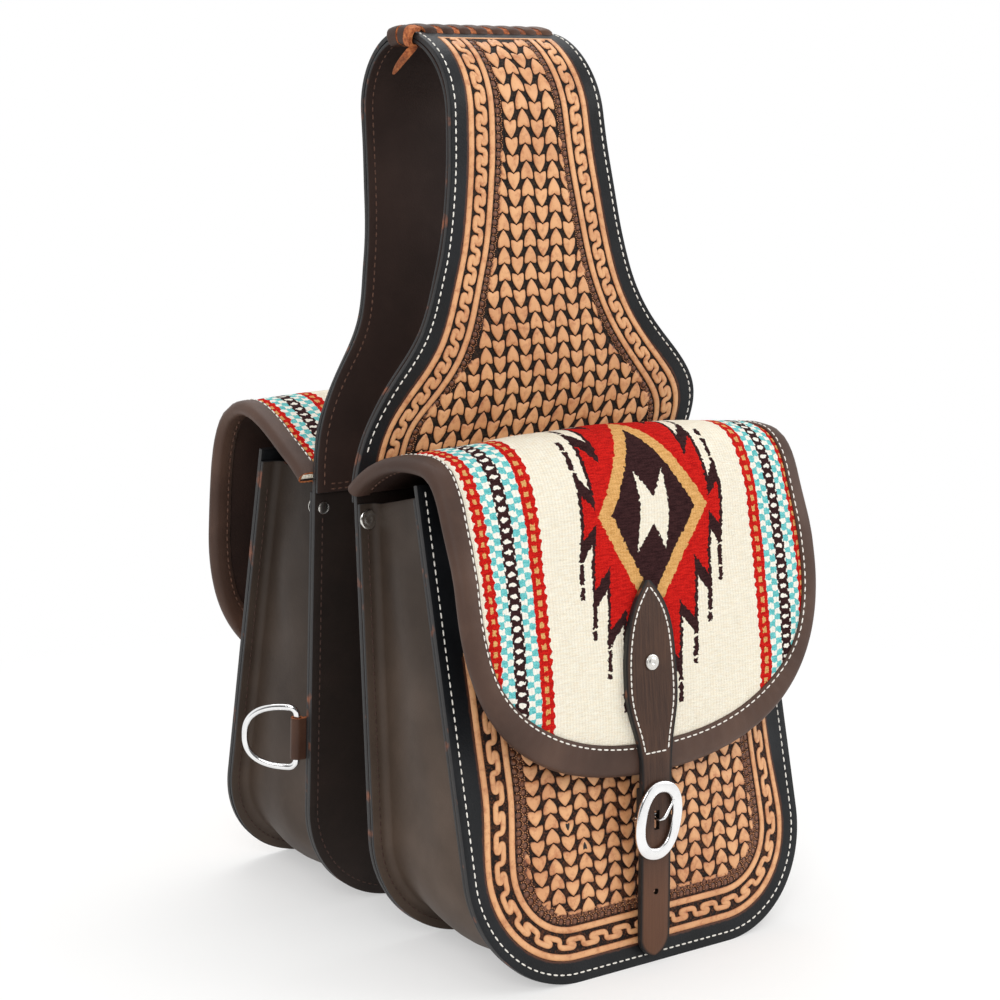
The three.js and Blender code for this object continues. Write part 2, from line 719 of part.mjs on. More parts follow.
function strap(name) {
  const half = strapWidth / 2;
  const head = strapHeadWidth / 2;
  const s = (rise) => flapRise(rise);
  const tail = s(strapTailHeight - flapBottom);
  const edge = new THREE.Path();
  edge.moveTo(strapTip, s(strapHeadTop));
  edge.bezierCurveTo(head * strapTipPull, s(strapHeadTop * strapTipRise),
    head, s(strapHeadMiddle * strapHeadPull), head, s(strapHeadMiddle));
  edge.bezierCurveTo(head, s(strapHeadMiddle * strapNeckPull), half, s(strapHeadMiddle / 2), half, s(0));
  edge.lineTo(half, tail - strapTailTaper);
  edge.lineTo(half * strapTailWidth, tail);
  const right = cornersOf(edge);
  const hole = (rise, radius) => circle(0, s(rise), radius);
  const slot = tongueWidth / 2 + clearance;
  const eye = barRadius + clearance + tongueEyeWall;
  const [slotTop, slotFoot] = [s(buckleRise + eye), s(buckleRise - 2 * eye)];
  const openings = [
    hole(strapRivetRise, rivetShank + 2 * clearance),
    hole(buckleRise - holePitch, holeRadius),
    hole(buckleRise - 2 * holePitch, holeRadius),
    [vec(-slot, slotTop), vec(slot, slotTop), vec(slot, slotFoot), vec(-slot, slotFoot)],
  ];
  const cut = openings.map((outline) => prism(outline, onFlap, strapNear - cutPast, strapFar + cutPast));
  const body = carve(strip(mirrored(right), right, onFlap, strapNear, strapFar), { cut });
  return mesh(name, body, leather(0x3c2b24));
}

function strapRivet(name) {
  const s = flapRise(strapRivetRise);
  const grip = strapFar - flapLiningBase;
  const piece = mesh(name, rivet(strapRivetHead, rivetHeadHeight, grip), metal(0xd8d6d2));
  const face = onFlap(0, s, strapFar);
  const out = onFlap(0, s, strapFar + 1).sub(face).normalize();
  piece.position.copy(face);
  piece.quaternion.setFromUnitVectors(new THREE.Vector3(0, 1, 0), out);
  return piece;
}

// The buckle hangs on the strap: an oval rim in front of it, and a bar behind it between two posts.
const strapBackU = flapLine.getPointAt(1).x + strapNear;
const strapFrontU = flapLine.getPointAt(1).x + strapFar;
const chapeRadius = barRadius + clearance + chapeLeather;
const barU = strapBackU - clearance - chapeRadius;
const rimU = strapFrontU + clearance + buckleRimThickness / 2;
const snapHeight = buckleHeight + chapeLength - snapRadius;

function buckleFrame(name) {
  const [a, b] = [(buckleOuterWidth - buckleRimWidth) / 2, (buckleOuterHeight - buckleRimWidth) / 2];
  const [wide, thick] = [buckleRimWidth / 2, buckleRimThickness / 2];
  const [crown, foot, edge] = [wide * rimCrown, wide * rimFoot, -thick * rimEdge];
  const section = [vec(wide, edge), vec(crown, thick), vec(-crown, thick), vec(-wide, edge),
    vec(-foot, -thick), vec(foot, -thick)];
  const steps = roundSteps + roundSteps / 2;
  const rows = Array.from({ length: steps }, (_, i) => {
    const angle = 2 * Math.PI * i / steps;
    const outward = vec(Math.cos(angle) / a, Math.sin(angle) / b).normalize();
    return section.map((p) => at(a * Math.cos(angle) + outward.x * p.x, rimU + p.y,
      buckleHeight + b * Math.sin(angle) + outward.y * p.x));
  });
  const bar = new THREE.CylinderGeometry(barRadius, barRadius, 2 * a, roundSteps).rotateZ(Math.PI / 2);
  bar.applyMatrix4(new THREE.Matrix4().setPosition(at(0, barU, buckleHeight)));
  const posts = [-1, 1].map((side) => {
    const post = new THREE.BoxGeometry(2 * barRadius, rimU - barU, 2 * barRadius);
    return post.applyMatrix4(new THREE.Matrix4().setPosition(at(side * a, (rimU + barU) / 2, buckleHeight)));
  });
  return mesh(name, carve(loft(rows), { add: [bar, ...posts] }), metal(0xd6d8db, 0.12));
}

// Turns a shape drawn in side view, out and up, to stand across the bag.
const sideView = () => new THREE.Matrix4().makeBasis(at(0, 1, 0), at(0, 0, 1), at(-1, 0, 0));

// The tongue turns on the bar: its eye, an arm out through the strap and a tip that lies on the rim.
function buckleTongue(name) {
  const eye = barRadius + clearance + tongueEyeWall;
  const out = rimU + buckleRimThickness / 2 + clearance - barU;
  const thick = 2 * tongueEyeWall;
  const reach = buckleOuterHeight / 2 - buckleRimWidth * tongueRest;
  const shape = new THREE.Shape();
  shape.absarc(0, 0, eye, Math.PI / 3, 2 * Math.PI - Math.PI / 6, false);
  shape.lineTo(out, -thick / 2);
  shape.lineTo(out + thick, thick / 2);
  shape.lineTo(out + thick * rimFoot, reach);
  shape.lineTo(out, reach);
  shape.lineTo(out, thick);
  shape.holes.push(roundHole(0, 0, barRadius + clearance));
  const piece = mesh(name, extruded(shape, tongueWidth), metal(0xd6d8db, 0.15));
  piece.position.copy(at(tongueWidth / 2, barU, buckleHeight));
  piece.quaternion.setFromRotationMatrix(sideView());
  return piece;
}

// The chape is a strip folded around the bar, with a slot for the tongue, and its tail carries a snap.
function buckleChape(name) {
  const tail = chapeLeather;
  const lean = Math.asin(tail / chapeRadius);
  const shape = new THREE.Shape();
  shape.absarc(0, 0, chapeRadius, Math.PI / 2 + lean, 2.5 * Math.PI - lean, false);
  shape.lineTo(tail, chapeLength);
  shape.lineTo(-tail, chapeLength);
  shape.holes.push(roundHole(0, 0, barRadius + clearance));
  const body = extruded(shape, chapeWidth);
  body.applyMatrix4(sideView().setPosition(at(chapeWidth / 2, barU, buckleHeight)));
  const gap = tongueWidth + 4 * clearance;
  const slot = new THREE.BoxGeometry(gap, 4 * chapeRadius, 3 * chapeRadius);
  slot.applyMatrix4(new THREE.Matrix4().setPosition(at(0, barU, buckleHeight - chapeRadius / 4)));
  return mesh(name, carve(body, { cut: [slot] }), leather(0x3c2b24));
}

function snapDisc(name, from, to) {
  const disc = new THREE.CylinderGeometry(snapRadius, snapRadius, to - from, roundSteps);
  const piece = mesh(name, disc, metal(0xb9b4aa, 0.35));
  piece.position.copy(at(0, (from + to) / 2, snapHeight));
  return piece;
}
const snapSeat = frontFace(0, snapHeight - snapRadius) + clearance;
const snapMeet = snapSeat + snapStudThickness;

// The D-ring hangs in a folded tab that is sewn to the gusset's flange on the bag's right side.
function ringMount(prefix) {
  const eye = ringWire + clearance + tabLeather;
  const flange = backOuter(ringHeight) + clearance + gussetThickness;
  const mount = new THREE.Group();
  mount.position.copy(at(halfBag + eye, flange + clearance + eye, ringHeight));
  mount.rotation.x = -Math.atan(backLean);
  const tail = 2 * clearance - eye - flangeWidth;
  const fold = eye - 2 * tabLeather;
  const shape = new THREE.Shape();
  shape.moveTo(tail, eye);
  shape.lineTo(tail, fold);
  shape.absarc(0, 0, eye, Math.PI - Math.asin(fold / eye), 2.5 * Math.PI, false);
  shape.holes.push(roundHole(0, 0, ringWire + clearance));
  const tab = mesh(`${prefix}_d_ring_tab`, extruded(shape, tabHeight), leather(0x5a3524));
  tab.position.z = -tabHeight / 2;
  mount.add(tab, dRing(`${prefix}_d_ring`));
  return mount;
}

function dRing(name) {
  const half = ringWidth / 2;
  const path = new THREE.Path();
  path.moveTo(0, ringBend - half);
  path.lineTo(0, half - ringBend);
  path.absarc(ringBend, half - ringBend, ringBend, Math.PI, Math.PI / 2, true);
  path.absellipse(ringBend, 0, ringReach - ringBend, half, Math.PI / 2, -Math.PI / 2, true);
  path.absarc(ringBend, ringBend - half, ringBend, -Math.PI / 2, -Math.PI, true);
  const points = cornersOf(path).slice(1);
  const sides = roundSteps / 2;
  const rows = points.map((p, i) => {
    const along = points[(i + 1) % points.length].clone().sub(points.at(i - 1)).normalize();
    const side = vec(-along.y, along.x);
    return Array.from({ length: sides }, (_, k) => {
      const angle = 2 * Math.PI * k / sides;
      const out = p.clone().addScaledVector(side, ringWire * Math.cos(angle));
      return new THREE.Vector3(out.x, ringWire * Math.sin(angle), out.y);
    });
  });
  const piece = mesh(name, loft(rows), metal(0xd6d8db, 0.12));
  piece.rotation.z = -ringSwing;
  return piece;
}

function bag(prefix) {
  const group = new THREE.Group();
  group.add(
    bagBackPanel(`${prefix}_bag_back_panel`),
    gusset(`${prefix}_gusset`),
    bagFrontPanel(`${prefix}_front_panel`),
    cornerRivet(`${prefix}_corner_rivet_left`, -1),
    cornerRivet(`${prefix}_corner_rivet_right`, 1),
    ringMount(prefix),
    flapBlanket(`${prefix}_flap_blanket`),
    flapLining(`${prefix}_flap_lining`),
    flapBinding(`${prefix}_flap_binding`),
    strap(`${prefix}_strap`),
    strapRivet(`${prefix}_strap_rivet`),
    buckleFrame(`${prefix}_buckle_frame`),
    buckleTongue(`${prefix}_buckle_tongue`),
    buckleChape(`${prefix}_buckle_chape`),
    snapDisc(`${prefix}_snap_stud`, snapSeat, snapMeet),
    snapDisc(`${prefix}_snap_socket`, snapMeet + clearance, barU - chapeLeather - clearance),
  );
  return group;
}

const saddleBags = new THREE.Group();
const front = bag('front');
front.add(yokePanel('front_yoke_panel', -yokeSideLean, 0), yokeLining('front_yoke_lining', -yokeSideLean, 0));
const back = bag('back');
const backLaceShift = -lacePitch / 2 - 2 * laceStart - (laceWraps - 1) * lacePitch;
back.add(yokePanel('back_yoke_panel', yokeSideLean, backLaceShift),
  yokeLining('back_yoke_lining', yokeSideLean, backLaceShift));
back.rotation.z = Math.PI;
saddleBags.add(front, back, ridgeLace());

export default saddleBags;
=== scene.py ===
import math
import bpy
import numpy as np
from mathutils import Matrix, Vector

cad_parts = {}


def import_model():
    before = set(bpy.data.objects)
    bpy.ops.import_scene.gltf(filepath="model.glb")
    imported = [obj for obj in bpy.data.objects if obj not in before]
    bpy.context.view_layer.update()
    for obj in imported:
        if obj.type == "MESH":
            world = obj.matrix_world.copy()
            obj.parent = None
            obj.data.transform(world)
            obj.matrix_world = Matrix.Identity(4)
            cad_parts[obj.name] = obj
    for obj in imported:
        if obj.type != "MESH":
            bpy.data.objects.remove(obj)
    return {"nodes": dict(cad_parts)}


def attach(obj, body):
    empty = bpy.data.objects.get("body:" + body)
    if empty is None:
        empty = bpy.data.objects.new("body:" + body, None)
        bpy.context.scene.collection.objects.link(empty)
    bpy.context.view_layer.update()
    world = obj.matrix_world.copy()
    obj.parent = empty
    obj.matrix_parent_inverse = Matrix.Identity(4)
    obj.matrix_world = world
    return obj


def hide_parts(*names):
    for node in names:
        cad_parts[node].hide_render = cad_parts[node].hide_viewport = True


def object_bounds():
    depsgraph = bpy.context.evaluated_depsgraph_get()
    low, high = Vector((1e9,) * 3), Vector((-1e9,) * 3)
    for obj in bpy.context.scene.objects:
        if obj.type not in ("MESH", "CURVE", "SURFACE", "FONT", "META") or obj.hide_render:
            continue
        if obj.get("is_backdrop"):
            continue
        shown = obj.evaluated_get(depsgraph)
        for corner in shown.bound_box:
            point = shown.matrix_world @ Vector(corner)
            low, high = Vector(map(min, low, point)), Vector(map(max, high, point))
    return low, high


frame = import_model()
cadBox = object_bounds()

mm = 0.001
sides = ("front", "back")
turns = {"front": 1, "back": -1}
print("saddle bags: frame loaded,", len(frame["nodes"]), "nodes")


# camera at the photo's angle, worked out for a square picture
camera = {"place": (-0.807, -1.113, 0.487), "azimuth": -35.83, "elevation": 9.76, "lens": 81.65,
          "sensor": 36.0}

def setCamera():
    bpy.ops.object.select_all(action="DESELECT")
    turn, tilt = math.radians(camera["azimuth"]), math.radians(camera["elevation"])
    forward = Vector((-math.sin(turn) * math.cos(tilt), math.cos(turn) * math.cos(tilt), -math.sin(tilt)))
    bpy.ops.object.camera_add(location=camera["place"], rotation=forward.to_track_quat("-Z", "Y").to_euler())
    eye = bpy.context.object
    eye.name = "photo_camera"
    eye.data.lens = camera["lens"]
    eye.data.sensor_width = camera["sensor"]
    eye.data.clip_end = 50
    bpy.context.scene.camera = eye

setCamera()
print("camera set")


# the bag's measures in millimetres: x across, u out from the middle of the pair, z up
bag = {"width": 245, "corner": 67, "lean": 0.058, "frontLean": 0.225, "seam": 272, "top": 283, "mouth": 63,
       "bulge": 20, "panel": 3.2, "sewn": 13.6, "flange": 11, "web": 2.6, "drop": 8, "halfGap": 18.5,
       "lining": 2.2, "lap": 8, "fit": 0.3}
halfBag = bag["width"] / 2

def backInner(z):
    return bag["halfGap"] + bag["lining"] + bag["fit"] + bag["lean"] * (bag["seam"] - z)

def backOuter(z):
    return backInner(z) + bag["panel"]

def frontPlane(z):
    return backOuter(bag["top"]) + bag["mouth"] + bag["frontLean"] * (bag["top"] - z)

def frontFace(x, z):
    across = np.minimum(1, np.abs(x) / (halfBag - bag["sewn"]))
    up = np.clip((z - bag["sewn"]) / (bag["top"] - bag["sewn"]), 0, 1)
    return frontPlane(z) + bag["bulge"] * (1 - across ** 2) * (1 - (1 - up) ** 2)

def softStep(low, high, value):
    t = np.clip((value - low) / (high - low), 0, 1)
    return t * t * (3 - 2 * t)

def bezier(points, steps=160):
    t = np.linspace(0, 1, steps)[:, None]
    a, b, c, d = np.array(points, float)
    return (1 - t) ** 3 * a + 3 * (1 - t) ** 2 * t * b + 3 * (1 - t) * t * t * c + t ** 3 * d

# a flat line through dense points, read by its length
def makeLine(*parts):
    points = np.vstack([parts[0]] + [part[1:] for part in parts[1:]])
    along = np.r_[0, np.cumsum(np.hypot(*np.diff(points, axis=0).T))]
    heading = np.gradient(points, along, axis=0)
    heading /= np.linalg.norm(heading, axis=1)[:, None]
    return {"points": points, "along": along, "heading": heading, "length": along[-1]}

def onLine(line, s):
    point = np.stack([np.interp(s, line["along"], line["points"][:, k]) for k in (0, 1)], -1)
    heading = np.stack([np.interp(s, line["along"], line["heading"][:, k]) for k in (0, 1)], -1)
    return point, heading / np.linalg.norm(heading, axis=-1, keepdims=True)

def leftOf(heading):
    return np.stack([-heading[:, 1], heading[:, 0]], -1)

# a line moved to its left by inset
def offsetLine(line, inset):
    return makeLine(line["points"] + leftOf(line["heading"]) * inset)

yoke = {"thick": 3.2, "topWidth": 105, "radius": 44, "rise": 213, "heel": 0.13, "head": 0.4, "shoulder": 22,
        "flareMiddle": 92, "flareWidth": 168, "flareSlope": 0.62, "sideLean": 21, "leanRise": 42, "sway": 8,
        "swayRise": 52, "swayFade": 127, "shoulderPull": 0.5, "flarePull": (0.4, 0.6), "topPull": 0.45}

def makeYokeLine():
    foot = lambda z: np.array([backInner(z) - bag["fit"] / 2, z])
    low, seam = foot(bag["seam"] - bag["lap"]), foot(bag["seam"])
    top, rise, radius = bag["seam"] + yoke["rise"], yoke["rise"], yoke["radius"]
    heel, head = seam + [0, rise * yoke["heel"]], [radius, top - rise * yoke["head"]]
    arch = bezier([seam, heel, head, [radius, top]], 400)
    angle = np.linspace(0, math.acos(bag["fit"] / 2 / radius), 200)
    crown = np.stack([radius * np.cos(angle), top + radius * np.sin(angle)], -1)
    return makeLine(np.linspace(low, seam, 30), arch, crown)

yokeLine = makeYokeLine()
yokeLength = yokeLine["length"]
yokeFace = bag["fit"] / 2 + yoke["thick"]

def makeYokeEdge(foot):
    shoulder = np.array([halfBag, bag["lap"] + yoke["shoulder"]])
    flare = np.array([yoke["flareWidth"] / 2, bag["lap"] + yoke["flareMiddle"]])
    top = np.array([yoke["topWidth"] / 2, yokeLength])
    high = flare[1] - shoulder[1]
    slope = np.array([-yoke["flareSlope"], 1])
    slope /= np.linalg.norm(slope)
    before, after = yoke["flarePull"]
    heel, neck = [0, high * yoke["shoulderPull"]], [0, (top[1] - flare[1]) * yoke["topPull"]]
    return makeLine(np.linspace([halfBag, foot], shoulder, 40),
                    bezier([shoulder, shoulder + heel, flare - slope * high * before, flare]),
                    bezier([flare, flare + slope * high * after, top - neck, top]))

# the crown leans to one side, after a sway to the other just above the seam
def yokeLean(s):
    low = bag["lap"]
    turned = low + yoke["swayRise"]
    sway = softStep(low, turned, s) - softStep(turned, low + yoke["swayFade"], s)
    return yoke["sway"] * sway - yoke["sideLean"] * softStep(low + yoke["leanRise"], yokeLength, s)

flap = {"width": 260, "reach": 70, "rise": 19, "drop": 21, "standOff": 21, "footOff": 14, "bottom": 113,
        "corner": 112, "hinge": 276, "binding": 1.4, "bindingWidth": 19, "wool": 3.4, "lining": 1.7,
        "heelReach": 0.2, "heelRise": 12, "crestPull": 0.4, "roundPull": 0.5, "slope": 0.27,
        "shoulderPull": 0.8, "sidePull": 0.6, "frontPull": 0.5, "cornerPull": 0.67, "footPull": 0.65,
        "crownMiddle": {"front": 6.0, "back": 13.0}, "crownFall": {"front": 10.0, "back": 4.0},
        "crownStart": (22, 84), "crownEnd": {"front": (165, 125), "back": (215, 95)}}

def makeFlapLine():
    near = onLine(yokeLine, flap["hinge"] - bag["seam"] + bag["lap"])[0]
    hinge = np.array([near[0] + yokeFace + bag["fit"], flap["hinge"]])
    crest = np.array([hinge[0] + flap["reach"], bag["top"] + flap["rise"]])
    high = bag["top"] - flap["drop"]
    shoulder = np.array([frontFace(0, high) + flap["standOff"], high])
    foot = np.array([frontFace(0, flap["bottom"]) + flap["footOff"], flap["bottom"]])
    bend, fall = shoulder[0] - crest[0], shoulder[1] - foot[1]
    lean = np.array([-flap["slope"], 1]) * bend
    heel = hinge + [flap["reach"] * flap["heelReach"], flap["heelRise"]]
    over = crest + [bend * flap["roundPull"], 0]
    return makeLine(bezier([hinge, heel, crest - [flap["reach"] * flap["crestPull"], 0], crest]),
                    bezier([crest, over, shoulder + lean * flap["shoulderPull"], shoulder]),
                    bezier([shoulder, shoulder - lean * flap["sidePull"],
                            foot + [0, fall * flap["frontPull"]], foot]),
                    np.linspace(foot, [foot[0], 0], 50))

flapLine = makeFlapLine()
flapLength = flapLine["length"] - flap["bottom"]

def makeFlapEdge():
    wide, corner = flap["width"] / 2, flapLength - flap["corner"]
    return makeLine(np.linspace([wide, 0], [wide, corner], 60),
                    bezier([[wide, corner], [wide, corner + flap["corner"] * flap["cornerPull"]],
                            [wide * flap["footPull"], flapLength], [0, flapLength]]))

# the bag's outline from its left top, around the bottom, to its right top
def makeBagEdge(top):
    r, flat = bag["corner"], halfBag - bag["corner"]
    turn = np.linspace(math.pi, 1.5 * math.pi, 60)
    leftArc = np.stack([-flat + r * np.cos(turn), r + r * np.sin(turn)], -1)
    rightArc = leftArc[::-1] * [-1, 1]
    return makeLine(np.linspace([-halfBag, top], [-halfBag, r], 80), leftArc,
                    np.linspace([-flat, 0], [flat, 0], 60), rightArc,
                    np.linspace([halfBag, r], [halfBag, top], 80))

yokeEdge = makeYokeEdge(bag["lap"] + bag["fit"])
flapEdge = makeFlapEdge()

# the surfaces that pieces lie on: place(x, s, n) gives points n above the surface of one bag of the pair
def makePlaces(side):
    turn = turns[side]
    def world(x, u, z):
        return np.stack(np.broadcast_arrays(turn * x, -turn * u, z), -1)
    def onYoke(x, s, n):
        point, heading = onLine(yokeLine, np.clip(s, 0, yokeLength))
        x = x + turn * yokeLean(s)
        return world(x, point[..., 0] + heading[..., 1] * n, point[..., 1] - heading[..., 0] * n)
    def onFlap(x, s, n):  # puffed up over the mouth
        point, heading = onLine(flapLine, s)
        stuffed = softStep(*flap["crownStart"], s) * softStep(*flap["crownEnd"][side], s)
        n = n + stuffed * (flap["crownMiddle"][side] - flap["crownFall"][side] * (2 * x / flap["width"]) ** 2)
        return world(x, point[..., 0] - heading[..., 1] * n, point[..., 1] + heading[..., 0] * n)
    def onFront(x, z, n):
        return world(x, frontFace(x, z) + n, z)
    def onBack(x, z, n):
        return world(x, backOuter(z) + n, z)
    return {"yoke": onYoke, "flap": onFlap, "front": onFront, "back": onBack, "world": world}

places = {side: makePlaces(side) for side in sides}

# slow waves that keep a surface from looking ruled
def softWave(a, b, length=70.0, seed=0.0):
    k = 2 * math.pi / length
    return (np.sin(k * a + 1.3 + seed) * np.cos(0.83 * k * b + 0.4 + seed)
            + 0.6 * np.sin(1.7 * k * b - 0.6 * k * a + 2.1 * seed)) / 1.6


# modelling helpers
def deselect():
    if bpy.context.object and bpy.context.object.mode != "OBJECT":
        bpy.ops.object.mode_set(mode="OBJECT")
    bpy.ops.object.select_all(action="DESELECT")

def pick(piece):
    deselect()
    piece.select_set(True)
    bpy.context.view_layer.objects.active = piece

def editAll(piece, *steps):
    pick(piece)
    bpy.ops.object.mode_set(mode="EDIT")
    bpy.ops.mesh.select_all(action="SELECT")
    for step in steps:
        step()
    bpy.ops.object.mode_set(mode="OBJECT")

def addUv(piece, name, values):
    layer = piece.data.uv_layers.get(name) or piece.data.uv_layers.new(name=name)
    corner = np.empty(len(piece.data.loops), int)
    piece.data.loops.foreach_get("vertex_index", corner)
    layer.data.foreach_set("uv", values.reshape(-1, 2)[corner].astype(np.float32).reshape(-1))

# a flat grid with every point moved to its place; points are rows by columns in millimetres
def gridPiece(name, points, flat=None, edge=None, flip=False):
    rows, columns = points.shape[:2]
    deselect()
    bpy.ops.mesh.primitive_grid_add(x_subdivisions=columns - 1, y_subdivisions=rows - 1, size=1)
    piece = bpy.context.object
    piece.name = piece.data.name = name
    piece.data.vertices.foreach_set("co", (points * mm).astype(np.float32).reshape(-1))
    piece.data.update()
    while piece.data.uv_layers:
        piece.data.uv_layers.remove(piece.data.uv_layers[0])
    if flat is not None:
        addUv(piece, "flat", flat)
    if edge is not None:
        addUv(piece, "edge", edge)
    if flip:
        editAll(piece, bpy.ops.mesh.flip_normals)
    return piece

def applyModifier(piece, kind, **settings):
    pick(piece)
    step = piece.modifiers.new(kind.lower(), kind)
    for key, value in settings.items():
        setattr(step, key, value)
    bpy.ops.object.modifier_apply(modifier=step.name)

def thicken(piece, depth, rim=0, offset=-1.0):
    applyModifier(piece, "SOLIDIFY", thickness=depth * mm, offset=offset, use_even_offset=True,
                  material_offset_rim=rim)

def roundEdges(piece, width, segments=2, angle=50):
    applyModifier(piece, "BEVEL", width=width * mm, segments=segments, limit_method="ANGLE",
                  angle_limit=math.radians(angle), harden_normals=False)

crisp = 40  # edges steeper than this many degrees stay sharp on hard parts

def smooth(piece, angle=50):
    pick(piece)
    bpy.ops.object.shade_smooth_by_angle(angle=math.radians(angle))

# closes a tube made as a grid: its first and last columns are the same points
def closeTube(piece, capEnds=True):
    editAll(piece, lambda: bpy.ops.mesh.remove_doubles(threshold=1e-6))
    if capEnds:
        editAll(piece, lambda: bpy.ops.mesh.fill_holes(sides=0))
    editAll(piece, lambda: bpy.ops.mesh.normals_make_consistent(inside=False))

# one mesh from many copies of a small model, each copy's points given in millimetres
def copiesPiece(name, points, faces, tone=None):
    count, size = points.shape[:2]
    allFaces = [[index + copy * size for index in face] for copy in range(count) for face in faces]
    mesh = bpy.data.meshes.new(name)
    mesh.from_pydata((points.reshape(-1, 3) * mm).tolist(), [], allFaces)
    if tone is not None:
        layer = mesh.attributes.new("tone", "FLOAT", "POINT")
        layer.data.foreach_set("value", np.broadcast_to(tone, (count, size)).astype(np.float32).reshape(-1))
    piece = bpy.data.objects.new(name, mesh)
    bpy.context.collection.objects.link(piece)
    for face in mesh.polygons:
        face.use_smooth = True
    mesh.update()
    return piece

def dress(piece, *finishes):
    for finish in finishes:
        piece.data.materials.append(finish)

# a sheet's finishes, face first and then its cut rim, with its thickness and rounded edges
def finishSheet(piece, finishes, depth, rounding, offset=-1.0):
    dress(piece, *finishes)
    thicken(piece, depth, len(finishes) - 1, offset)
    roundEdges(piece, rounding)
    smooth(piece)

def faceOutward(piece):
    editAll(piece, lambda: bpy.ops.mesh.normals_make_consistent(inside=False))

def editFaces(piece, wanted, *steps):
    pick(piece)
    bpy.ops.object.mode_set(mode="EDIT")
    bpy.ops.mesh.select_all(action="DESELECT")
    bpy.ops.object.mode_set(mode="OBJECT")
    for face in piece.data.polygons:
        face.select = wanted(face)
    bpy.ops.object.mode_set(mode="EDIT")
    bpy.ops.mesh.select_mode(type="FACE")
    for step in steps:
        step()
    bpy.ops.mesh.select_mode(type="VERT")
    bpy.ops.object.mode_set(mode="OBJECT")

# grows the selected disc into rings of (radius, height)
def growRings(rings, radius, height):
    for nextRadius, nextHeight in rings:
        bpy.ops.mesh.extrude_region_move(TRANSFORM_OT_translate={"value": (0, 0, nextHeight - height)})
        if nextRadius != radius:
            share = nextRadius / radius
            bpy.ops.transform.resize(value=(share, share, 1), center_override=(0, 0, nextHeight))
        radius, height = nextRadius, nextHeight

# a round rod in millimetres, lying sideways or pointing outwards
sideways, outwards = (0, math.pi / 2, 0), (math.pi / 2, 0, 0)

def addRod(radius, depth, at, way, vertices=24):
    deselect()
    bpy.ops.mesh.primitive_cylinder_add(vertices=vertices, radius=radius * mm, depth=depth * mm,
                                        location=[c * mm for c in at], rotation=way)
    return bpy.context.object

# takes a small model's points and faces and removes the model
def takeModel(piece):
    points = np.array([v.co for v in piece.data.vertices])
    faces = [list(face.vertices) for face in piece.data.polygons]
    bpy.data.objects.remove(piece, do_unlink=True)
    return points, faces


# finishes, all from nodes
def colour(code, gain=1.0):
    channels = [int(code[k:k + 2], 16) / 255 for k in (1, 3, 5)]
    linear = [c / 12.92 if c <= 0.04045 else ((c + 0.055) / 1.055) ** 2.4 for c in channels]
    return (*[min(1.0, c * gain) for c in linear], 1.0)

def addNode(tree, kind, settings=None, inputs=None):
    made = tree.nodes.new("ShaderNode" + kind)
    for key, value in (settings or {}).items():
        setattr(made, key, value)
    for key, value in (inputs or {}).items():
        if isinstance(value, bpy.types.NodeSocket):
            tree.links.new(value, made.inputs[key])
        else:
            made.inputs[key].default_value = value
    return made

def calc(tree, operation, a, b=0.0, c=0.0, clamp=False):
    made = addNode(tree, "Math", {"operation": operation, "use_clamp": clamp}, {0: a, 1: b, 2: c})
    return made.outputs[0]

def blendColour(tree, share, low, high, kind="MIX"):
    made = addNode(tree, "Mix", {"data_type": "RGBA", "blend_type": kind}, {0: share, 6: low, 7: high})
    return made.outputs[2]

def spread(tree, value, low, high, fromLow=0.0, fromHigh=1.0):
    ends = {"From Min": fromLow, "From Max": fromHigh, "To Min": low, "To Max": high}
    return addNode(tree, "MapRange", {"clamp": True}, {"Value": value, **ends}).outputs[0]

def cloud(tree, where, scale, detail=3.0, rough=0.5):
    made = addNode(tree, "TexNoise", {}, {"Vector": where, "Scale": scale, "Detail": detail,
                                          "Roughness": rough})
    return made.outputs["Fac"]

def cells(tree, where, scale, feature="F1"):
    made = addNode(tree, "TexVoronoi", {"feature": feature}, {"Vector": where, "Scale": scale})
    return made.outputs["Distance"]

def stretched(tree, where, scale):
    return addNode(tree, "Mapping", {}, {"Vector": where, "Scale": scale}).outputs[0]

def ramp(tree, value, *stops):
    made = addNode(tree, "ValToRGB", {}, {"Fac": value})
    band = made.color_ramp
    while len(band.elements) < len(stops):
        band.elements.new(0.5)
    for element, (place, code) in zip(band.elements, stops):
        element.position, element.color = place, colour(code)
    return made.outputs[0]

def bump(tree, height, depth, normal=None):
    inputs = {"Height": height, "Distance": depth * mm, "Strength": 1.0}
    if normal is not None:
        inputs["Normal"] = normal
    return addNode(tree, "Bump", {}, inputs).outputs[0]

def uvMap(tree, name):
    return addNode(tree, "UVMap", {"uv_map": name}).outputs[0]

def axisOf(tree, vector, axis):
    return addNode(tree, "SeparateXYZ", {}, {0: vector}).outputs[axis]

def newFinish(name, roughness=0.5, **sockets):
    made = bpy.data.materials.new(name)
    made.use_nodes = True
    tree = made.node_tree
    shader = tree.nodes["Principled BSDF"]
    shader.inputs["Roughness"].default_value = roughness
    for key, value in sockets.items():
        shader.inputs[key].default_value = value
    where = addNode(tree, "TexCoord").outputs["Object"]
    return made, tree, shader, where

def wire(tree, shader, **sockets):
    for key, value in sockets.items():
        tree.links.new(value, shader.inputs[key])

# how fine the patches and grain of each finish are, in cells per metre
scales = {"patches": 16, "streaks": 70, "fine": 2600, "rawFibre": 420, "rawPatch": 60, "dyedFibre": 500,
          "dyedPatch": 75, "wobble": 300, "panelPatch": 22, "panelPits": 900, "beads": 700, "stain": 260,
          "tanPatch": 38, "tanGrain": 900, "blotch": 210, "twist": 1500, "haze": 90,
          "scratch": (300, 2600, 300), "strapPatch": 28, "strapPits": 950}

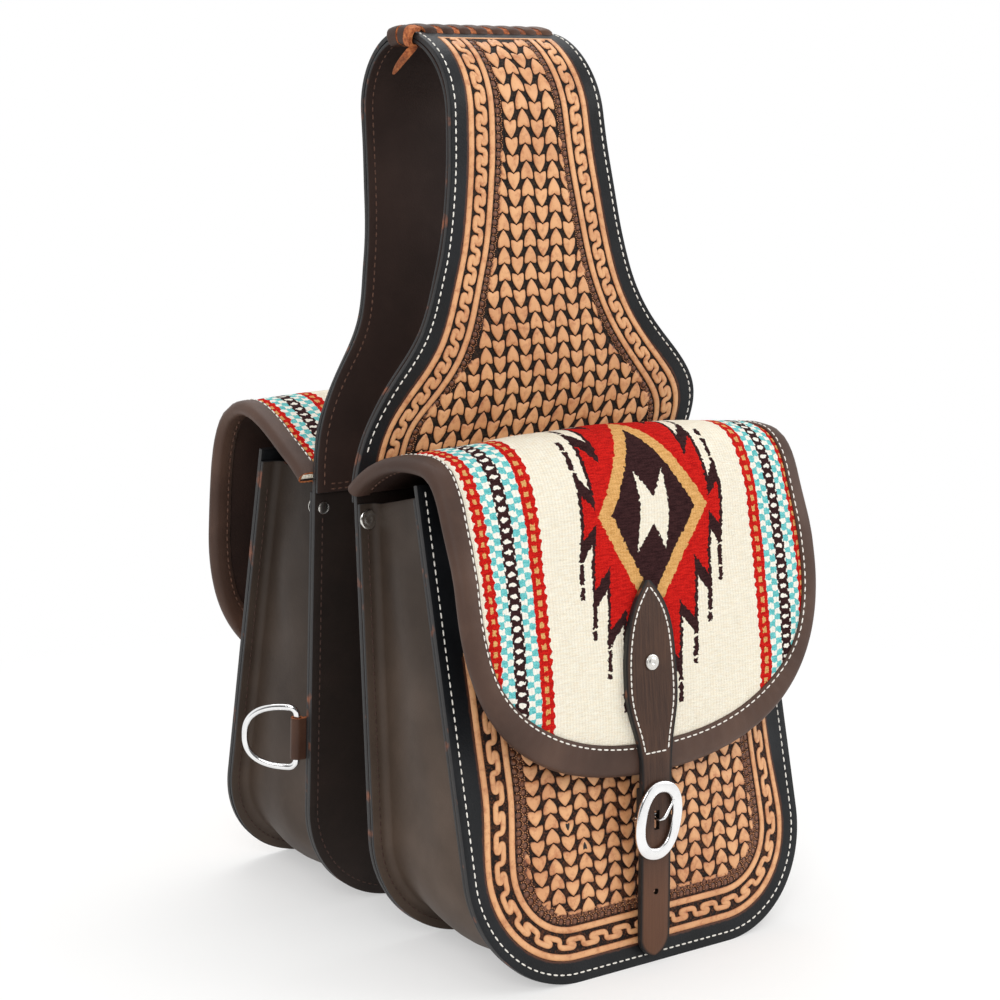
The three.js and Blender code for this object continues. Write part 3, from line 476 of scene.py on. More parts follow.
leatherLooks = {  # dark, middle and worn tones, roughness, grain size in mm, grain depth
    "gusset_leather": ("#3f332b", "#4f4137", "#645347", 0.50, 1.1, 0.07),
    "lining_leather": ("#261a16", "#33241f", "#402f28", 0.60, 1.0, 0.08),
    "panel_leather": ("#1a1310", "#271e1a", "#352823", 0.55, 1.1, 0.08),
    "binding_leather": ("#3a2a23", "#4b372e", "#60493d", 0.48, 1.0, 0.07),
    "lace_leather": ("#2a1a12", "#442c21", "#5e4130", 0.42, 1.2, 0.10),
}

def makeLeather(name):
    dark, middle, worn, rough, grain, depth = leatherLooks[name]
    made, tree, shader, where = newFinish(name, rough, **{"Specular IOR Level": 0.24})
    patches = cloud(tree, where, scales["patches"], 4.0, 0.55)
    streaks = cloud(tree, where, scales["streaks"], 3.0, 0.6)
    base = ramp(tree, patches, (0.2, dark), (0.5, middle), (0.85, worn))
    flecks = spread(tree, streaks, 0.0, 0.3, 0.55, 0.85)
    tone = blendColour(tree, flecks, base, colour(worn))
    if name == "gusset_leather":  # lighter towards the bottom, a painted sheen, and darker on the back bag
        for axis, share, first, last in ((2, 0.56, 0.05, 0.23), (1, 0.22, -0.05, 0.05)):
            along = axisOf(tree, where, axis)
            tone = blendColour(tree, spread(tree, along, 0.0, share, first, last), tone, colour("#0c0907"))
    pits = cells(tree, where, 1000 / grain)
    fine = cloud(tree, where, scales["fine"], 2.0)
    grainy = calc(tree, "ADD", calc(tree, "MULTIPLY", pits, 0.7), calc(tree, "MULTIPLY", fine, 0.5))
    tone = blendColour(tree, spread(tree, pits, 0.25, 0.0, 0.0, 0.4), tone, colour(dark))
    wire(tree, shader, **{"Base Color": tone, "Normal": bump(tree, grainy, depth),
                          "Roughness": spread(tree, patches, rough + 0.1, rough - 0.06, 0.3, 0.75)})
    return made

leathers = {name: makeLeather(name) for name in leatherLooks}

# raw cut edges show the orange-tan inside of the leather
def makeRawEdge(name="raw_edge"):
    made, tree, shader, where = newFinish(name, 0.8)
    fibre = cloud(tree, where, scales["rawFibre"], 4.0, 0.7)
    patch = cloud(tree, where, scales["rawPatch"], 2.0)
    tone = ramp(tree, fibre, (0.3, "#5a2a14"), (0.5, "#a85a2c"), (0.75, "#d08a52"))
    tone = blendColour(tree, spread(tree, patch, 0.0, 0.6, 0.45, 0.7), tone, colour("#3a2216"))
    wire(tree, shader, **{"Base Color": tone, "Normal": bump(tree, fibre, 0.25)})
    return made

# a dyed edge, near black, with the raw colour coming through in places
def makeDyedEdge(name="dyed_edge"):
    made, tree, shader, where = newFinish(name, 0.55)
    fibre = cloud(tree, where, scales["dyedFibre"], 3.0, 0.7)
    patch = cloud(tree, where, scales["dyedPatch"], 3.0)
    tone = ramp(tree, fibre, (0.3, "#121214"), (0.6, "#1f1d1d"), (0.85, "#332923"))
    tone = blendColour(tree, spread(tree, patch, 0.0, 0.8, 0.62, 0.74), tone, colour("#8a4a26"))
    wire(tree, shader, **{"Base Color": tone, "Normal": bump(tree, fibre, 0.15)})
    return made

rawEdge = makeRawEdge()
dyedEdge = makeDyedEdge()

# the tooled panels: a near-black margin, and inside it the stamped dark ground; the edge map holds the inset
tooledLooks = {"margin": "#101113", "marginWorn": "#1e2023", "bleed": "#5b3524"}

def makeTooled(name, margin, ground, fleck):
    made, tree, shader, where = newFinish(name, 0.45, **{"Specular IOR Level": 0.22})
    inset = axisOf(tree, uvMap(tree, "edge"), 0)
    wobble = calc(tree, "MULTIPLY_ADD", cloud(tree, where, scales["wobble"], 2.0), 1.6, -0.8)
    inset = calc(tree, "ADD", inset, wobble)
    patches = cloud(tree, where, scales["panelPatch"], 4.0, 0.6)
    pits = cells(tree, where, scales["panelPits"])
    marginTone = ramp(tree, patches, (0.35, tooledLooks["margin"]), (0.75, tooledLooks["marginWorn"]))
    bleed = spread(tree, inset, 0.0, 0.8, margin - 1.5, margin - 0.3)
    marginTone = blendColour(tree, bleed, marginTone, colour(tooledLooks["bleed"]))
    beads = cells(tree, where, scales["beads"])
    stain = cloud(tree, where, scales["stain"], 2.0)
    groundTone = ramp(tree, beads, (0.1, fleck), (0.5, ground))
    groundTone = blendColour(tree, spread(tree, stain, 0.0, 0.45, 0.5, 0.7), groundTone, colour(fleck))
    inside = calc(tree, "GREATER_THAN", inset, margin)
    grain, stamped = calc(tree, "MULTIPLY", pits, 0.25), calc(tree, "MULTIPLY", beads, -1.0)
    height = blendColour(tree, inside, grain, stamped)
    wire(tree, shader, **{"Base Color": blendColour(tree, inside, marginTone, groundTone),
                          "Normal": bump(tree, height, 0.35), "Roughness": spread(tree, inside, 0.42, 0.65)})
    return made

# raised tooling: tone runs from the cut foot, 0, to the polished top, 1
def makeTan(name="tan_tooling"):
    made, tree, shader, where = newFinish(name, 0.42)
    tone = addNode(tree, "Attribute", {"attribute_name": "tone"}).outputs["Fac"]
    patch = cloud(tree, where, scales["tanPatch"], 3.0, 0.55)
    grain = cloud(tree, where, scales["tanGrain"], 3.0, 0.6)
    lifted = calc(tree, "ADD", tone, calc(tree, "MULTIPLY_ADD", grain, 0.24, -0.12))
    face = ramp(tree, lifted, (0.1, "#160c08"), (0.3, "#6a3d24"), (0.52, "#c98d5f"), (0.95, "#dda675"))
    shade = blendColour(tree, spread(tree, patch, 0.0, 0.35, 0.45, 0.75), face, colour("#b97a4c"), "MULTIPLY")
    blotch = cloud(tree, where, scales["blotch"], 4.0, 0.65)
    shade = blendColour(tree, spread(tree, blotch, 0.0, 0.6, 0.5, 0.72), shade, colour("#b9784a"), "MULTIPLY")
    wire(tree, shader, **{"Base Color": shade, "Normal": bump(tree, grain, 0.12),
                          "Roughness": spread(tree, patch, 0.36, 0.5)})
    return made

def makeThread(name, light, dark):
    made, tree, shader, where = newFinish(name, 0.7)
    twist = cloud(tree, where, scales["twist"], 2.0)
    wire(tree, shader, **{"Base Color": ramp(tree, twist, (0.3, dark), (0.65, light)),
                          "Normal": bump(tree, twist, 0.15)})
    return made

def makeMetal(name, code, rough, scratch):
    made, tree, shader, where = newFinish(name, rough, Metallic=1.0)
    haze = cloud(tree, where, scales["haze"], 3.0)
    lines = cloud(tree, stretched(tree, where, scales["scratch"]), 1, 3.0)
    tone = blendColour(tree, spread(tree, haze, 0.0, 0.2, 0.4, 0.8), colour(code), colour("#a8a6a2"))
    # painted reflection: faces turned away from the view are blended towards dark grey, standing in for dark
    # surroundings mirrored in the metal
    turned = addNode(tree, "LayerWeight", {}, {"Blend": 0.5}).outputs["Facing"]
    tone = blendColour(tree, spread(tree, turned, 0.0, 0.6, 0.55, 0.9), tone, colour("#3c3d40"))
    wire(tree, shader, **{"Base Color": tone,
                          "Roughness": spread(tree, haze, rough, rough + 0.12, 0.35, 0.8),
                          "Normal": bump(tree, lines, scratch)})
    return made

tanTooling = makeTan()
whiteThread = makeThread("white_thread", "#f6f3ec", "#cfc9bd")
brownThread = makeThread("brown_thread", "#6e4b3a", "#3d281e")
darkThread = makeThread("dark_thread", "#4a3026", "#2a1b15")
chrome = makeMetal("chrome", "#f4f4f4", 0.08, 0.005)
nickel = makeMetal("nickel", "#dedbd5", 0.22, 0.015)

# strap: dark brown, streaked lengthwise, black along its edge and lighter towards its tail
def makeStrapLeather(name="strap_leather"):
    made, tree, shader, where = newFinish(name, 0.42, **{"Specular IOR Level": 0.24})
    flat = uvMap(tree, "flat")
    streak = cloud(tree, stretched(tree, flat, (0.9, 0.035, 1)), 1, 4.0, 0.6)
    patch = cloud(tree, where, scales["strapPatch"], 3.0)
    pits = cells(tree, where, scales["strapPits"])
    tone = ramp(tree, streak, (0.3, "#32211a"), (0.5, "#3f2b21"), (0.72, "#4d3528"))
    tone = blendColour(tree, spread(tree, patch, 0.0, 0.4, 0.5, 0.75), tone, colour("#573c2d"))
    lower = spread(tree, axisOf(tree, where, 2), 0.55, 0.0, 0.04, 0.085)
    tone = blendColour(tree, lower, tone, colour("#6a4530"))
    inset = axisOf(tree, uvMap(tree, "edge"), 0)
    tone = blendColour(tree, spread(tree, inset, 1.0, 0.0, 0.6, 2.2), tone, colour("#100e0d"))
    wire(tree, shader, **{"Base Color": tone, "Normal": bump(tree, pits, 0.07),
                          "Roughness": spread(tree, patch, 0.5, 0.34)})
    return made

strapLeather = makeStrapLeather()
print("finishes made")


# the woven blanket, drawn on its flat map in millimetres
# each yarn has a light and a shaded tone; a band of the motif is its outer and inner distance from the axis,
# with the ends of the red and of its brown outline there, and the length of the hanging line
blanketLooks = {"cream": ("#fffaea", "#fbf0d8"), "red": ("#e0261f", "#b01414"),
                "gold": ("#eebb78", "#d39a55"), "brown": ("#43292a", "#2a1719"),
                "turquoise": ("#86dcdc", "#52bcc0"), "white": ("#fffdf6", "#fffaea"),
                "motifAt": (6.0, 136.0), "stripesLeft": -74.0, "stripesRight": 79.0,
                "drift": (8.5, 140.0, 225.0), "diamond": (40.0, 62.0), "diamondInside": (30.5, 49.0),
                "bow": (10.4, 1.48, 7.0), "stripes": (0.0, 8.5, 17.0, 25.5, 33.5, 40.0),
                "linkLength": 6.0, "checkLength": 7.0, "ribs": 2.1, "fuzz": 0.42,
                "bands": [(50.0, 41.5, (12.0, 4.0), (24.0, 12.0), 45.0),
                          (41.5, 31.0, (40.0, 28.0), (51.0, 38.0), 68.0),
                          (31.0, 19.5, (64.0, 52.5), (73.0, 60.0), 91.0),
                          (19.5, -1.0, (86.0, 67.0), (95.0, 76.0), 112.0)]}

def makeBlanket(name="woven_blanket"):
    looks = blanketLooks
    made, tree, shader = newFinish(name, 0.95, **{"Specular IOR Level": 0.06})[:3]
    flat = uvMap(tree, "flat")
    fuzz = addNode(tree, "TexNoise", {}, {"Vector": flat, "Scale": looks["fuzz"], "Detail": 3.0})
    sway = addNode(tree, "SeparateXYZ", {}, {0: fuzz.outputs["Color"]})
    x0, s0 = addNode(tree, "SeparateXYZ", {}, {0: flat}).outputs[:2]
    x = calc(tree, "ADD", x0, calc(tree, "MULTIPLY_ADD", sway.outputs[0], 4.4, -2.2))
    s = calc(tree, "ADD", s0, calc(tree, "MULTIPLY_ADD", sway.outputs[1], 3.6, -1.8))
    less = lambda a, b: calc(tree, "LESS_THAN", a, b)
    more = lambda a, b: calc(tree, "GREATER_THAN", a, b)
    both = lambda a, b: calc(tree, "MULTIPLY", a, b)
    either = lambda a, b: calc(tree, "MAXIMUM", a, b)
    line = lambda v, slope, base: calc(tree, "MULTIPLY_ADD", v, slope, base)

    # yarn colours vary along each pick
    yarn = cloud(tree, stretched(tree, flat, (0.18, 0.95, 1)), 1, 2.0)
    hair = cloud(tree, flat, 1.7, 3.0, 0.7)
    mottle = calc(tree, "MULTIPLY_ADD", hair, 0.6, calc(tree, "MULTIPLY", yarn, 0.4))
    shaded = lambda a, b: blendColour(tree, spread(tree, mottle, 1.0, 0.0, 0.42, 0.56), colour(a), colour(b))
    cream, red, gold, brown, turquoise, white = (shaded(*looks[name]) for name in (
        "cream", "red", "gold", "brown", "turquoise", "white"))

    # middle motif, its axis drifting a little towards the flap's foot
    drift = spread(tree, s0, 0.0, *looks["drift"])
    ax = calc(tree, "ABSOLUTE", calc(tree, "ADD", calc(tree, "SUBTRACT", x, looks["motifAt"][0]), drift))
    ay = calc(tree, "ABSOLUTE", calc(tree, "SUBTRACT", s, looks["motifAt"][1]))
    pattern = cream
    beads = more(calc(tree, "SINE", calc(tree, "MULTIPLY", s, 0.5)), -0.95)
    notch = 0.0
    for outer, inner, redEnds, brownEnds, tail in looks["bands"]:
        reach = lambda ends: line(ax, (ends[0] - ends[1]) / (outer - inner),
                                  ends[1] - inner * (ends[0] - ends[1]) / (outer - inner))
        column = both(less(ax, outer), more(ax, inner))
        outline = both(both(more(ax, outer - 0.4), less(ax, outer + 1.6)), less(ay, brownEnds[0]))
        outline = both(outline, more(ay, notch))
        hang = both(both(more(ax, outer - 0.9), less(ax, outer + 2.3)), both(less(ay, tail), more(ay, notch)))
        notch = brownEnds[1]
        pattern = blendColour(tree, both(hang, either(beads, less(ay, brownEnds[0]))), pattern, brown)
        pattern = blendColour(tree, either(both(column, less(ay, reach(brownEnds))), outline), pattern, brown)
        pattern = blendColour(tree, both(column, less(ay, reach(redEnds))), pattern, red)
    diamond = lambda wide, high: less(calc(tree, "ADD", calc(tree, "DIVIDE", ax, wide),
                                           calc(tree, "DIVIDE", ay, high)), 1.0)
    pattern = blendColour(tree, diamond(*looks["diamond"]), pattern, gold)
    pattern = blendColour(tree, diamond(*looks["diamondInside"]), pattern, brown)
    bowWide, bowSlope, bowMiddle = looks["bow"]
    inBow = both(less(ax, bowWide), less(ay, line(ax, bowSlope, bowMiddle)))
    pattern = blendColour(tree, inBow, pattern, cream)

    # side stripes: red and gold, turquoise, a brown chain, turquoise, red and gold
    onRight = more(x0, 0.0)
    t = blendColour(tree, onRight, calc(tree, "SUBTRACT", looks["stripesLeft"], x0),
                    calc(tree, "SUBTRACT", x0, looks["stripesRight"]))
    t = calc(tree, "ADD", t, calc(tree, "MULTIPLY_ADD", sway.outputs[0], 2.4, -1.2))
    wave = lambda v, length: calc(tree, "SINE", calc(tree, "MULTIPLY", v, 2 * math.pi / length))
    phase, step = wave(s, looks["linkLength"]), wave(s, looks["checkLength"])
    def band(pattern, low, high, fill):
        return blendColour(tree, both(more(t, low), less(t, high)), pattern, fill)
    def lumpy(pattern, low, high):  # red with gold checks down its middle, its edges bulging at each check
        swell = calc(tree, "MULTIPLY", phase, 0.6)
        pattern = blendColour(tree, both(more(t, calc(tree, "SUBTRACT", low - 0.2, swell)),
                                         less(t, calc(tree, "ADD", high + 0.2, swell))), pattern, red)
        third = (high - low) / 3
        return blendColour(tree, both(both(more(t, low + third), less(t, high - third)), less(phase, 0.1)),
                           pattern, gold)
    def checked(pattern, low, high):  # two columns of checks, offset by half
        middle = (low + high) / 2
        pattern = band(pattern, low, high, white)
        first = both(both(more(t, low), less(t, middle)), more(step, -0.15))
        second = both(both(more(t, middle), less(t, high)), less(step, 0.15))
        return blendColour(tree, either(first, second), pattern, turquoise)
    def chain(pattern, low, high):  # brown links round white centres
        middle, wide = (low + high) / 2, (high - low) / 2
        off = calc(tree, "DIVIDE", calc(tree, "SUBTRACT", t, middle), wide)
        ring = calc(tree, "ADD", calc(tree, "MULTIPLY", off, off), calc(tree, "MULTIPLY", phase, 0.5))
        pattern = band(pattern, low, high, brown)
        across = calc(tree, "ABSOLUTE", off)
        corner = both(both(more(across, 0.78), less(across, 1.0)), more(phase, 0.5))
        return blendColour(tree, either(less(ring, -0.12), corner), pattern, white)
    ends = looks["stripes"]
    for stripe, low, high in zip((lumpy, checked, chain, checked, lumpy), ends, ends[1:]):
        pattern = stripe(pattern, low, high)

    # weave: fine picks along s, soft ribs across x, loose hairs
    picks = cloud(tree, stretched(tree, flat, (0.12, 1.1, 1)), 1, 2.0, 0.6)
    ribs = wave(x0, looks["ribs"])
    weave = calc(tree, "ADD", calc(tree, "MULTIPLY", picks, 1.1), calc(tree, "MULTIPLY", ribs, 0.16))
    weave = calc(tree, "ADD", weave, calc(tree, "MULTIPLY", hair, 1.3))
    dim = spread(tree, weave, 0.24, 0.0, 0.75, 1.55)
    pattern = blendColour(tree, dim, pattern, colour("#8d7760"), "MULTIPLY")
    wire(tree, shader, **{"Base Color": pattern, "Normal": bump(tree, weave, 0.6)})
    return made

wovenBlanket = makeBlanket()
print("blanket drawn")


# small models that repeat; a heart's rings are (scale, height, tone)
heart = {"width": 9.2, "height": 11.7, "pitch": 9.8, "row": 10.4, "cut": 3.2, "sink": 1.0,
         "outline": [(0, -0.55), (0.27, -0.44), (0.53, -0.3), (0.77, -0.14), (0.92, 0.02), (0.98, 0.17),
                     (1, 0.34), (0.9, 0.43), (0.6, 0.42), (0.27, 0.38), (0, 0.3)],
         "rings": [(1.02, -0.6, 0.0), (0.99, 0.3, 0.3), (0.94, 0.6, 0.72), (0.7, 0.8, 0.95)], "top": 0.86,
         "tone": 0.86, "toneSpread": 0.2, "footFade": 0.8, "ears": (0.1, 0.46)}

def modelHeart():
    right = heart["outline"]
    outline = right + [(-x, s) for x, s in right[-2:0:-1]]
    deselect()
    bpy.ops.mesh.primitive_circle_add(vertices=len(outline), radius=1, fill_type="NGON")
    model = bpy.context.object
    for vertex, (x, s) in zip(model.data.vertices, outline):
        vertex.co = (x * heart["width"] / 2, s * heart["height"], heart["rings"][0][1])
    bpy.ops.object.mode_set(mode="EDIT")
    bpy.ops.mesh.select_all(action="SELECT")
    growRings([ring[:2] for ring in heart["rings"][1:]], *heart["rings"][0][:2])
    bpy.ops.mesh.poke(offset=heart["top"] - heart["rings"][-1][1])
    bpy.ops.mesh.normals_make_consistent(inside=False)
    bpy.ops.object.mode_set(mode="OBJECT")
    points, faces = takeModel(model)
    levels = [ring[1] for ring in heart["rings"]] + [heart["top"]]
    tones = [ring[2] for ring in heart["rings"]] + [1.0]
    return points, faces, np.interp(points[:, 2], levels, tones)

stitch = {"length": 3.5, "width": 0.95, "height": 0.75, "pitch": 4.7, "blunt": 0.7, "dip": 0.35, "up": 0.1}

def modelStitch():
    deselect()
    bpy.ops.mesh.primitive_uv_sphere_add(segments=8, ring_count=6, radius=1)
    model = bpy.context.object
    bpy.ops.object.mode_set(mode="EDIT")
    bpy.ops.mesh.select_all(action="SELECT")
    bpy.ops.transform.rotate(value=math.pi / 2, orient_axis="Y", center_override=(0, 0, 0))
    bpy.ops.transform.resize(value=(stitch["length"] / 2, stitch["width"] / 2, stitch["height"] / 2),
                             center_override=(0, 0, 0))
    bpy.ops.object.mode_set(mode="OBJECT")
    for vertex in model.data.vertices:  # blunt ends that dip into the leather
        share = vertex.co.x / (stitch["length"] / 2)
        vertex.co.x = stitch["length"] / 2 * math.copysign(abs(share) ** stitch["blunt"], share)
        vertex.co.z -= stitch["dip"] * abs(share) ** 3
    return takeModel(model)

scallop = {"radius": 2.1, "rise": 0.28, "foot": 0.4, "shoulder": 0.7, "shoulderSize": 0.75, "pearls": 8,
           "pearlRing": 2.6, "pearl": 0.5, "pearlRise": 0.2, "spreadAngle": 1.75,
           "tones": [0.0, 0.24, 0.36], "pearlTones": [0.05, 0.5]}

def modelScallop():  # a small dome with an arc of pearls around its inner side
    foot, shoulder, size = scallop["foot"], scallop["rise"] * scallop["shoulder"], scallop["shoulderSize"]
    deselect()
    bpy.ops.mesh.primitive_circle_add(vertices=12, radius=scallop["radius"], fill_type="NGON")
    model = bpy.context.object
    bpy.ops.object.mode_set(mode="EDIT")
    bpy.ops.mesh.select_all(action="SELECT")
    bpy.ops.transform.translate(value=(0, 0, -foot))
    bpy.ops.mesh.extrude_region_move(TRANSFORM_OT_translate={"value": (0, 0, foot + shoulder)})
    bpy.ops.transform.resize(value=(size, size, 1), center_override=(0, 0, 0))
    bpy.ops.mesh.poke(offset=scallop["rise"] - shoulder)
    bpy.ops.mesh.normals_make_consistent(inside=False)
    bpy.ops.object.mode_set(mode="OBJECT")
    points, faces = takeModel(model)
    tones = np.interp(points[:, 2], [-foot, shoulder, scallop["rise"]], scallop["tones"])
    deselect()
    size = scallop["pearl"]
    bpy.ops.mesh.primitive_ico_sphere_add(subdivisions=1, radius=size)
    pearl, pearlFaces = takeModel(bpy.context.object)
    for angle in np.linspace(-scallop["spreadAngle"], scallop["spreadAngle"], scallop["pearls"]):
        spot = np.array([math.sin(angle), math.cos(angle), 0]) * scallop["pearlRing"]
        spot = spot + [0, 0, scallop["pearlRise"]]
        faces += [[index + len(points) for index in face] for face in pearlFaces]
        points = np.vstack([points, pearl + spot])
        tones = np.r_[tones, np.interp(pearl[:, 2], [-size, size], scallop["pearlTones"])]
    return points, faces, tones

heartModel = modelHeart()
stitchModel = modelStitch()
scallopModel = modelScallop()

# copies of a small model at stops along a flat line on a surface
def copiesAlong(line, stops, local, place, base):
    point, heading = onLine(line, stops)
    along, across = heading[:, None] * local[None, :, :1], leftOf(heading)[:, None] * local[None, :, 1:2]
    flat = point[:, None] + along + across
    return place(flat[..., 0], flat[..., 1], base + local[None, :, 2] + 0 * flat[..., 0])

def sewLine(line, place, base, first=0.0, last=None, pitch=stitch["pitch"]):
    last = line["length"] if last is None else last
    stops = np.arange(first + pitch / 2, last - pitch / 2, pitch)
    return copiesAlong(line, stops, stitchModel[0], place, base)

def sewPiece(name, rows, thread):
    piece = copiesPiece(name, np.concatenate(rows), stitchModel[1])
    faceOutward(piece)
    dress(piece, thread)
    return piece

# a raised rounded strip along flat points, as one run of points and faces
def raisedStrip(points, wide, rise, place, base):
    heading = np.gradient(points, axis=0)
    heading /= np.linalg.norm(heading, axis=1)[:, None]
    section = np.array([(-1.0, -0.5), (-0.94, 0.45), (-0.6, 0.9), (0, 1), (0.6, 0.9), (0.94, 0.45),
                        (1.0, -0.5)])
    flat = points[:, None] + leftOf(heading)[:, None] * section[None, :, :1] * wide / 2
    placed = place(flat[..., 0], flat[..., 1], base + section[None, :, 1] * rise + 0 * flat[..., 0])
    rows, columns = placed.shape[:2]
    faces = [[r * columns + c, r * columns + c + 1, (r + 1) * columns + c + 1, (r + 1) * columns + c]
             for r in range(rows - 1) for c in range(columns - 1)]
    faces += [[r * columns + columns - 1, r * columns, (r + 1) * columns, (r + 1) * columns + columns - 1]
              for r in range(rows - 1)]
    faces += [list(range(columns - 1, -1, -1)), [(rows - 1) * columns + c for c in range(columns)]]
    tone = np.interp(section[:, 1], [-0.5, 0.45, 0.9, 1], [0.0, 0.42, 0.85, 1.0])
    return placed.reshape(-1, 3), faces, np.tile(tone, rows)

def joinRuns(name, runs, finish):
    points, faces, tones, base = [], [], [], 0
    for placed, runFaces, tone in runs:
        points.append(placed)
        tones.append(tone)
        faces += [[index + base for index in face] for face in runFaces]
        base += len(placed)
    piece = copiesPiece(name, np.concatenate(points)[None], faces, np.concatenate(tones)[None])
    faceOutward(piece)
    dress(piece, finish)
    return piece

# a turn of the scroll is (side, share of the period)
scroll = {"rise": 0.85, "lineWide": 4.0, "lineRise": 0.8, "lineIn": 2.1, "lineStep": 3.5,
          "stipplePitch": 4.9, "stippleRow": 3.6,
          "turns": [(-1, 0.1), (-1, 0.28), (-1, 0.46), (-0.74, 0.55), (-0.34, 0.54), (0, 0.435), (0.3, 0.33),
                    (0.7, 0.305), (1, 0.4), (1, 0.58), (1, 0.77), (0.76, 0.89), (0.36, 0.935), (0, 0.945),
                    (-0.4, 0.95), (-0.8, 0.99)]}

# the scroll's flat points along a line: an unbroken ribbon that winds from one column to the other
def scrollPoints(line, first, last, plan):
    count = max(1, round((last - first) / plan["period"]))
    period = (last - first) / count
    knots = np.array([(a, t + k) for k in range(count) for a, t in scroll["turns"]])
    ends = np.vstack([2 * knots[0] - knots[1], knots, 2 * knots[-1] - knots[-2]])
    share = np.linspace(0, 1, 4, endpoint=False)[:, None]
    pieces = []
    for a, b, c, d in zip(ends[:-3], ends[1:-2], ends[2:-1], ends[3:]):
        pieces.append(0.5 * (2 * b + (c - a) * share + (2 * a - 5 * b + 4 * c - d) * share ** 2
                             + (3 * b - a - 3 * c + d) * share ** 3))
    wound = np.vstack(pieces + [knots[-1:]])
    along = np.clip(first + wound[:, 1] * period, 0.5, line["length"] - 0.5)
    point, heading = onLine(line, along)
    return point + leftOf(heading) * wound[:, :1] * plan["column"]

# border along one edge: a scroll between two lines
def borderRuns(edge, plan, place, base, cut):
    runs = []
    for inset in (scroll["lineIn"], plan["lineOut"]):
        line = offsetLine(edge, plan["margin"] + inset)
        first, last = cut(line)
        points = onLine(line, np.linspace(first, last, int((last - first) / scroll["lineStep"])))[0]
        runs.append(raisedStrip(points, scroll["lineWide"], scroll["lineRise"], place, base))
    line = offsetLine(edge, plan["margin"] + plan["middle"])
    points = scrollPoints(line, *cut(line), plan)
    return runs + [raisedStrip(points, plan["ribbon"], scroll["rise"], place, base)]

def stippleCopies(edge, plan, place, base, cut):
    made = []
    for row in range(plan["stippleRows"]):
        line = offsetLine(edge, plan["margin"] + plan["stipple"] + row * scroll["stippleRow"])
        first, last = cut(line)
        start = first + 2 + row * scroll["stipplePitch"] / 2
        stops = np.arange(start, last - 1, scroll["stipplePitch"])
        made.append(copiesAlong(line, stops, scallopModel[0], place, base))
    return made

# hearts in columns, every other one upside down and half a row off; those beside the strap are darker,
# painted shade from the strap together with rubbing
strapShadeAndRub = {"x": -19, "wide": 10, "below": 130}

def heartCopies(place, base, plan, low, high, insetAt, limit, shade=0.0, fade=0.0):
    pitch, row, reach = plan["pitch"], plan["row"], halfBag
    local = heartModel[0] * [pitch / heart["pitch"], row / heart["row"], 1]
    spots = []
    for column in range(-int(reach / pitch) - 1, int(reach / pitch) + 1):
        x, down = (column + 0.5) * pitch, column % 2 == 0
        for s in np.arange(low + (row / 2 if down else 0), high, row):
            if insetAt(x, s) > limit - heart["cut"]:
                spots.append((x, s, 1 if down else -1))
    spots = np.array(spots)
    tone = heart["tone"] + heart["toneSpread"] * np.random.default_rng(len(spots)).random(len(spots))
    # painted shade: hearts beside the strap get a lower tone, standing in for the strap's shadow along with
    # some rubbing
    near = np.exp(-((spots[:, 0] - strapShadeAndRub["x"]) / strapShadeAndRub["wide"]) ** 2)
    tone = tone - shade * near * (spots[:, 1] < strapShadeAndRub["below"])
    x = spots[:, :1] + local[None, :, 0] * spots[:, 2:]
    s = spots[:, 1:2] + local[None, :, 1] * spots[:, 2:]
    sunk = softStep(limit, limit - heart["footFade"], insetAt(x, s))
    ears = softStep(*heart["ears"], heartModel[0][:, 1] / heart["height"])
    tones = tone[:, None] * (heartModel[2] * (1 - fade * ears))[None] * (1 - sunk)
    return place(x, s, base + local[None, :, 2] - heart["sink"] * sunk), tones

def cutBetween(low, high):
    def cut(line):
        inside = np.nonzero((line["points"][:, 1] > low) & (line["points"][:, 1] < high))[0]
        return line["along"][inside[0]], line["along"][inside[-1]]
    return cut

def rideAll(body, *pieces):
    for piece in pieces:
        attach(piece, body)

print("small models made")


# tooled yoke panels, linings and their decoration
yokePanel = {"margin": 12, "columns": 84, "rows": 190, "crowd": 1.2, "sink": 0.45, "toolingFoot": 14,
             "topGap": 18, "pitch": 9.55, "row": 9.85, "period": 11.6, "column": 2.3, "ribbon": 3.7,
             "middle": 9.25, "lineOut": 16.4, "stipple": 20.6, "stippleRows": 1, "field": 23.2,
             "endGap": 2.5, "topLine": (1.6, 0.5, 0.6), "stitchIn": 3.4, "stitchFrom": 21,
             "liningStitchIn": 5.0, "seamRows": (2.0, 5.2), "seamIn": 6, "wave": 0.5, "waveLength": 90,
             "waveStart": 0.7, "calm": (8, 36), "rounding": 0.9, "liningStitchFrom": 4,
             "liningRounding": 0.6}
tooledYoke = makeTooled("tooled_yoke", yokePanel["margin"], "#0e0a08", "#3e2a1c")

def yokeHalf(s, line=None):
    line = line or yokeEdge
    return np.interp(s, line["points"][:, 1], line["points"][:, 0])

def yokeInset(x, s):
    slope = (yokeHalf(s + 3) - yokeHalf(s - 3)) / 6
    return (yokeHalf(s) - np.abs(x)) / np.hypot(1, slope)

# where the panel is stamped down inside its margin; past the tooling's end its edge map says margin
offField, stampedEdge = 4, (-0.3, 0.9)

def sunkShare(plan, inset):
    first, last = stampedEdge
    return softStep(plan["margin"] + first, plan["margin"] + last, inset)

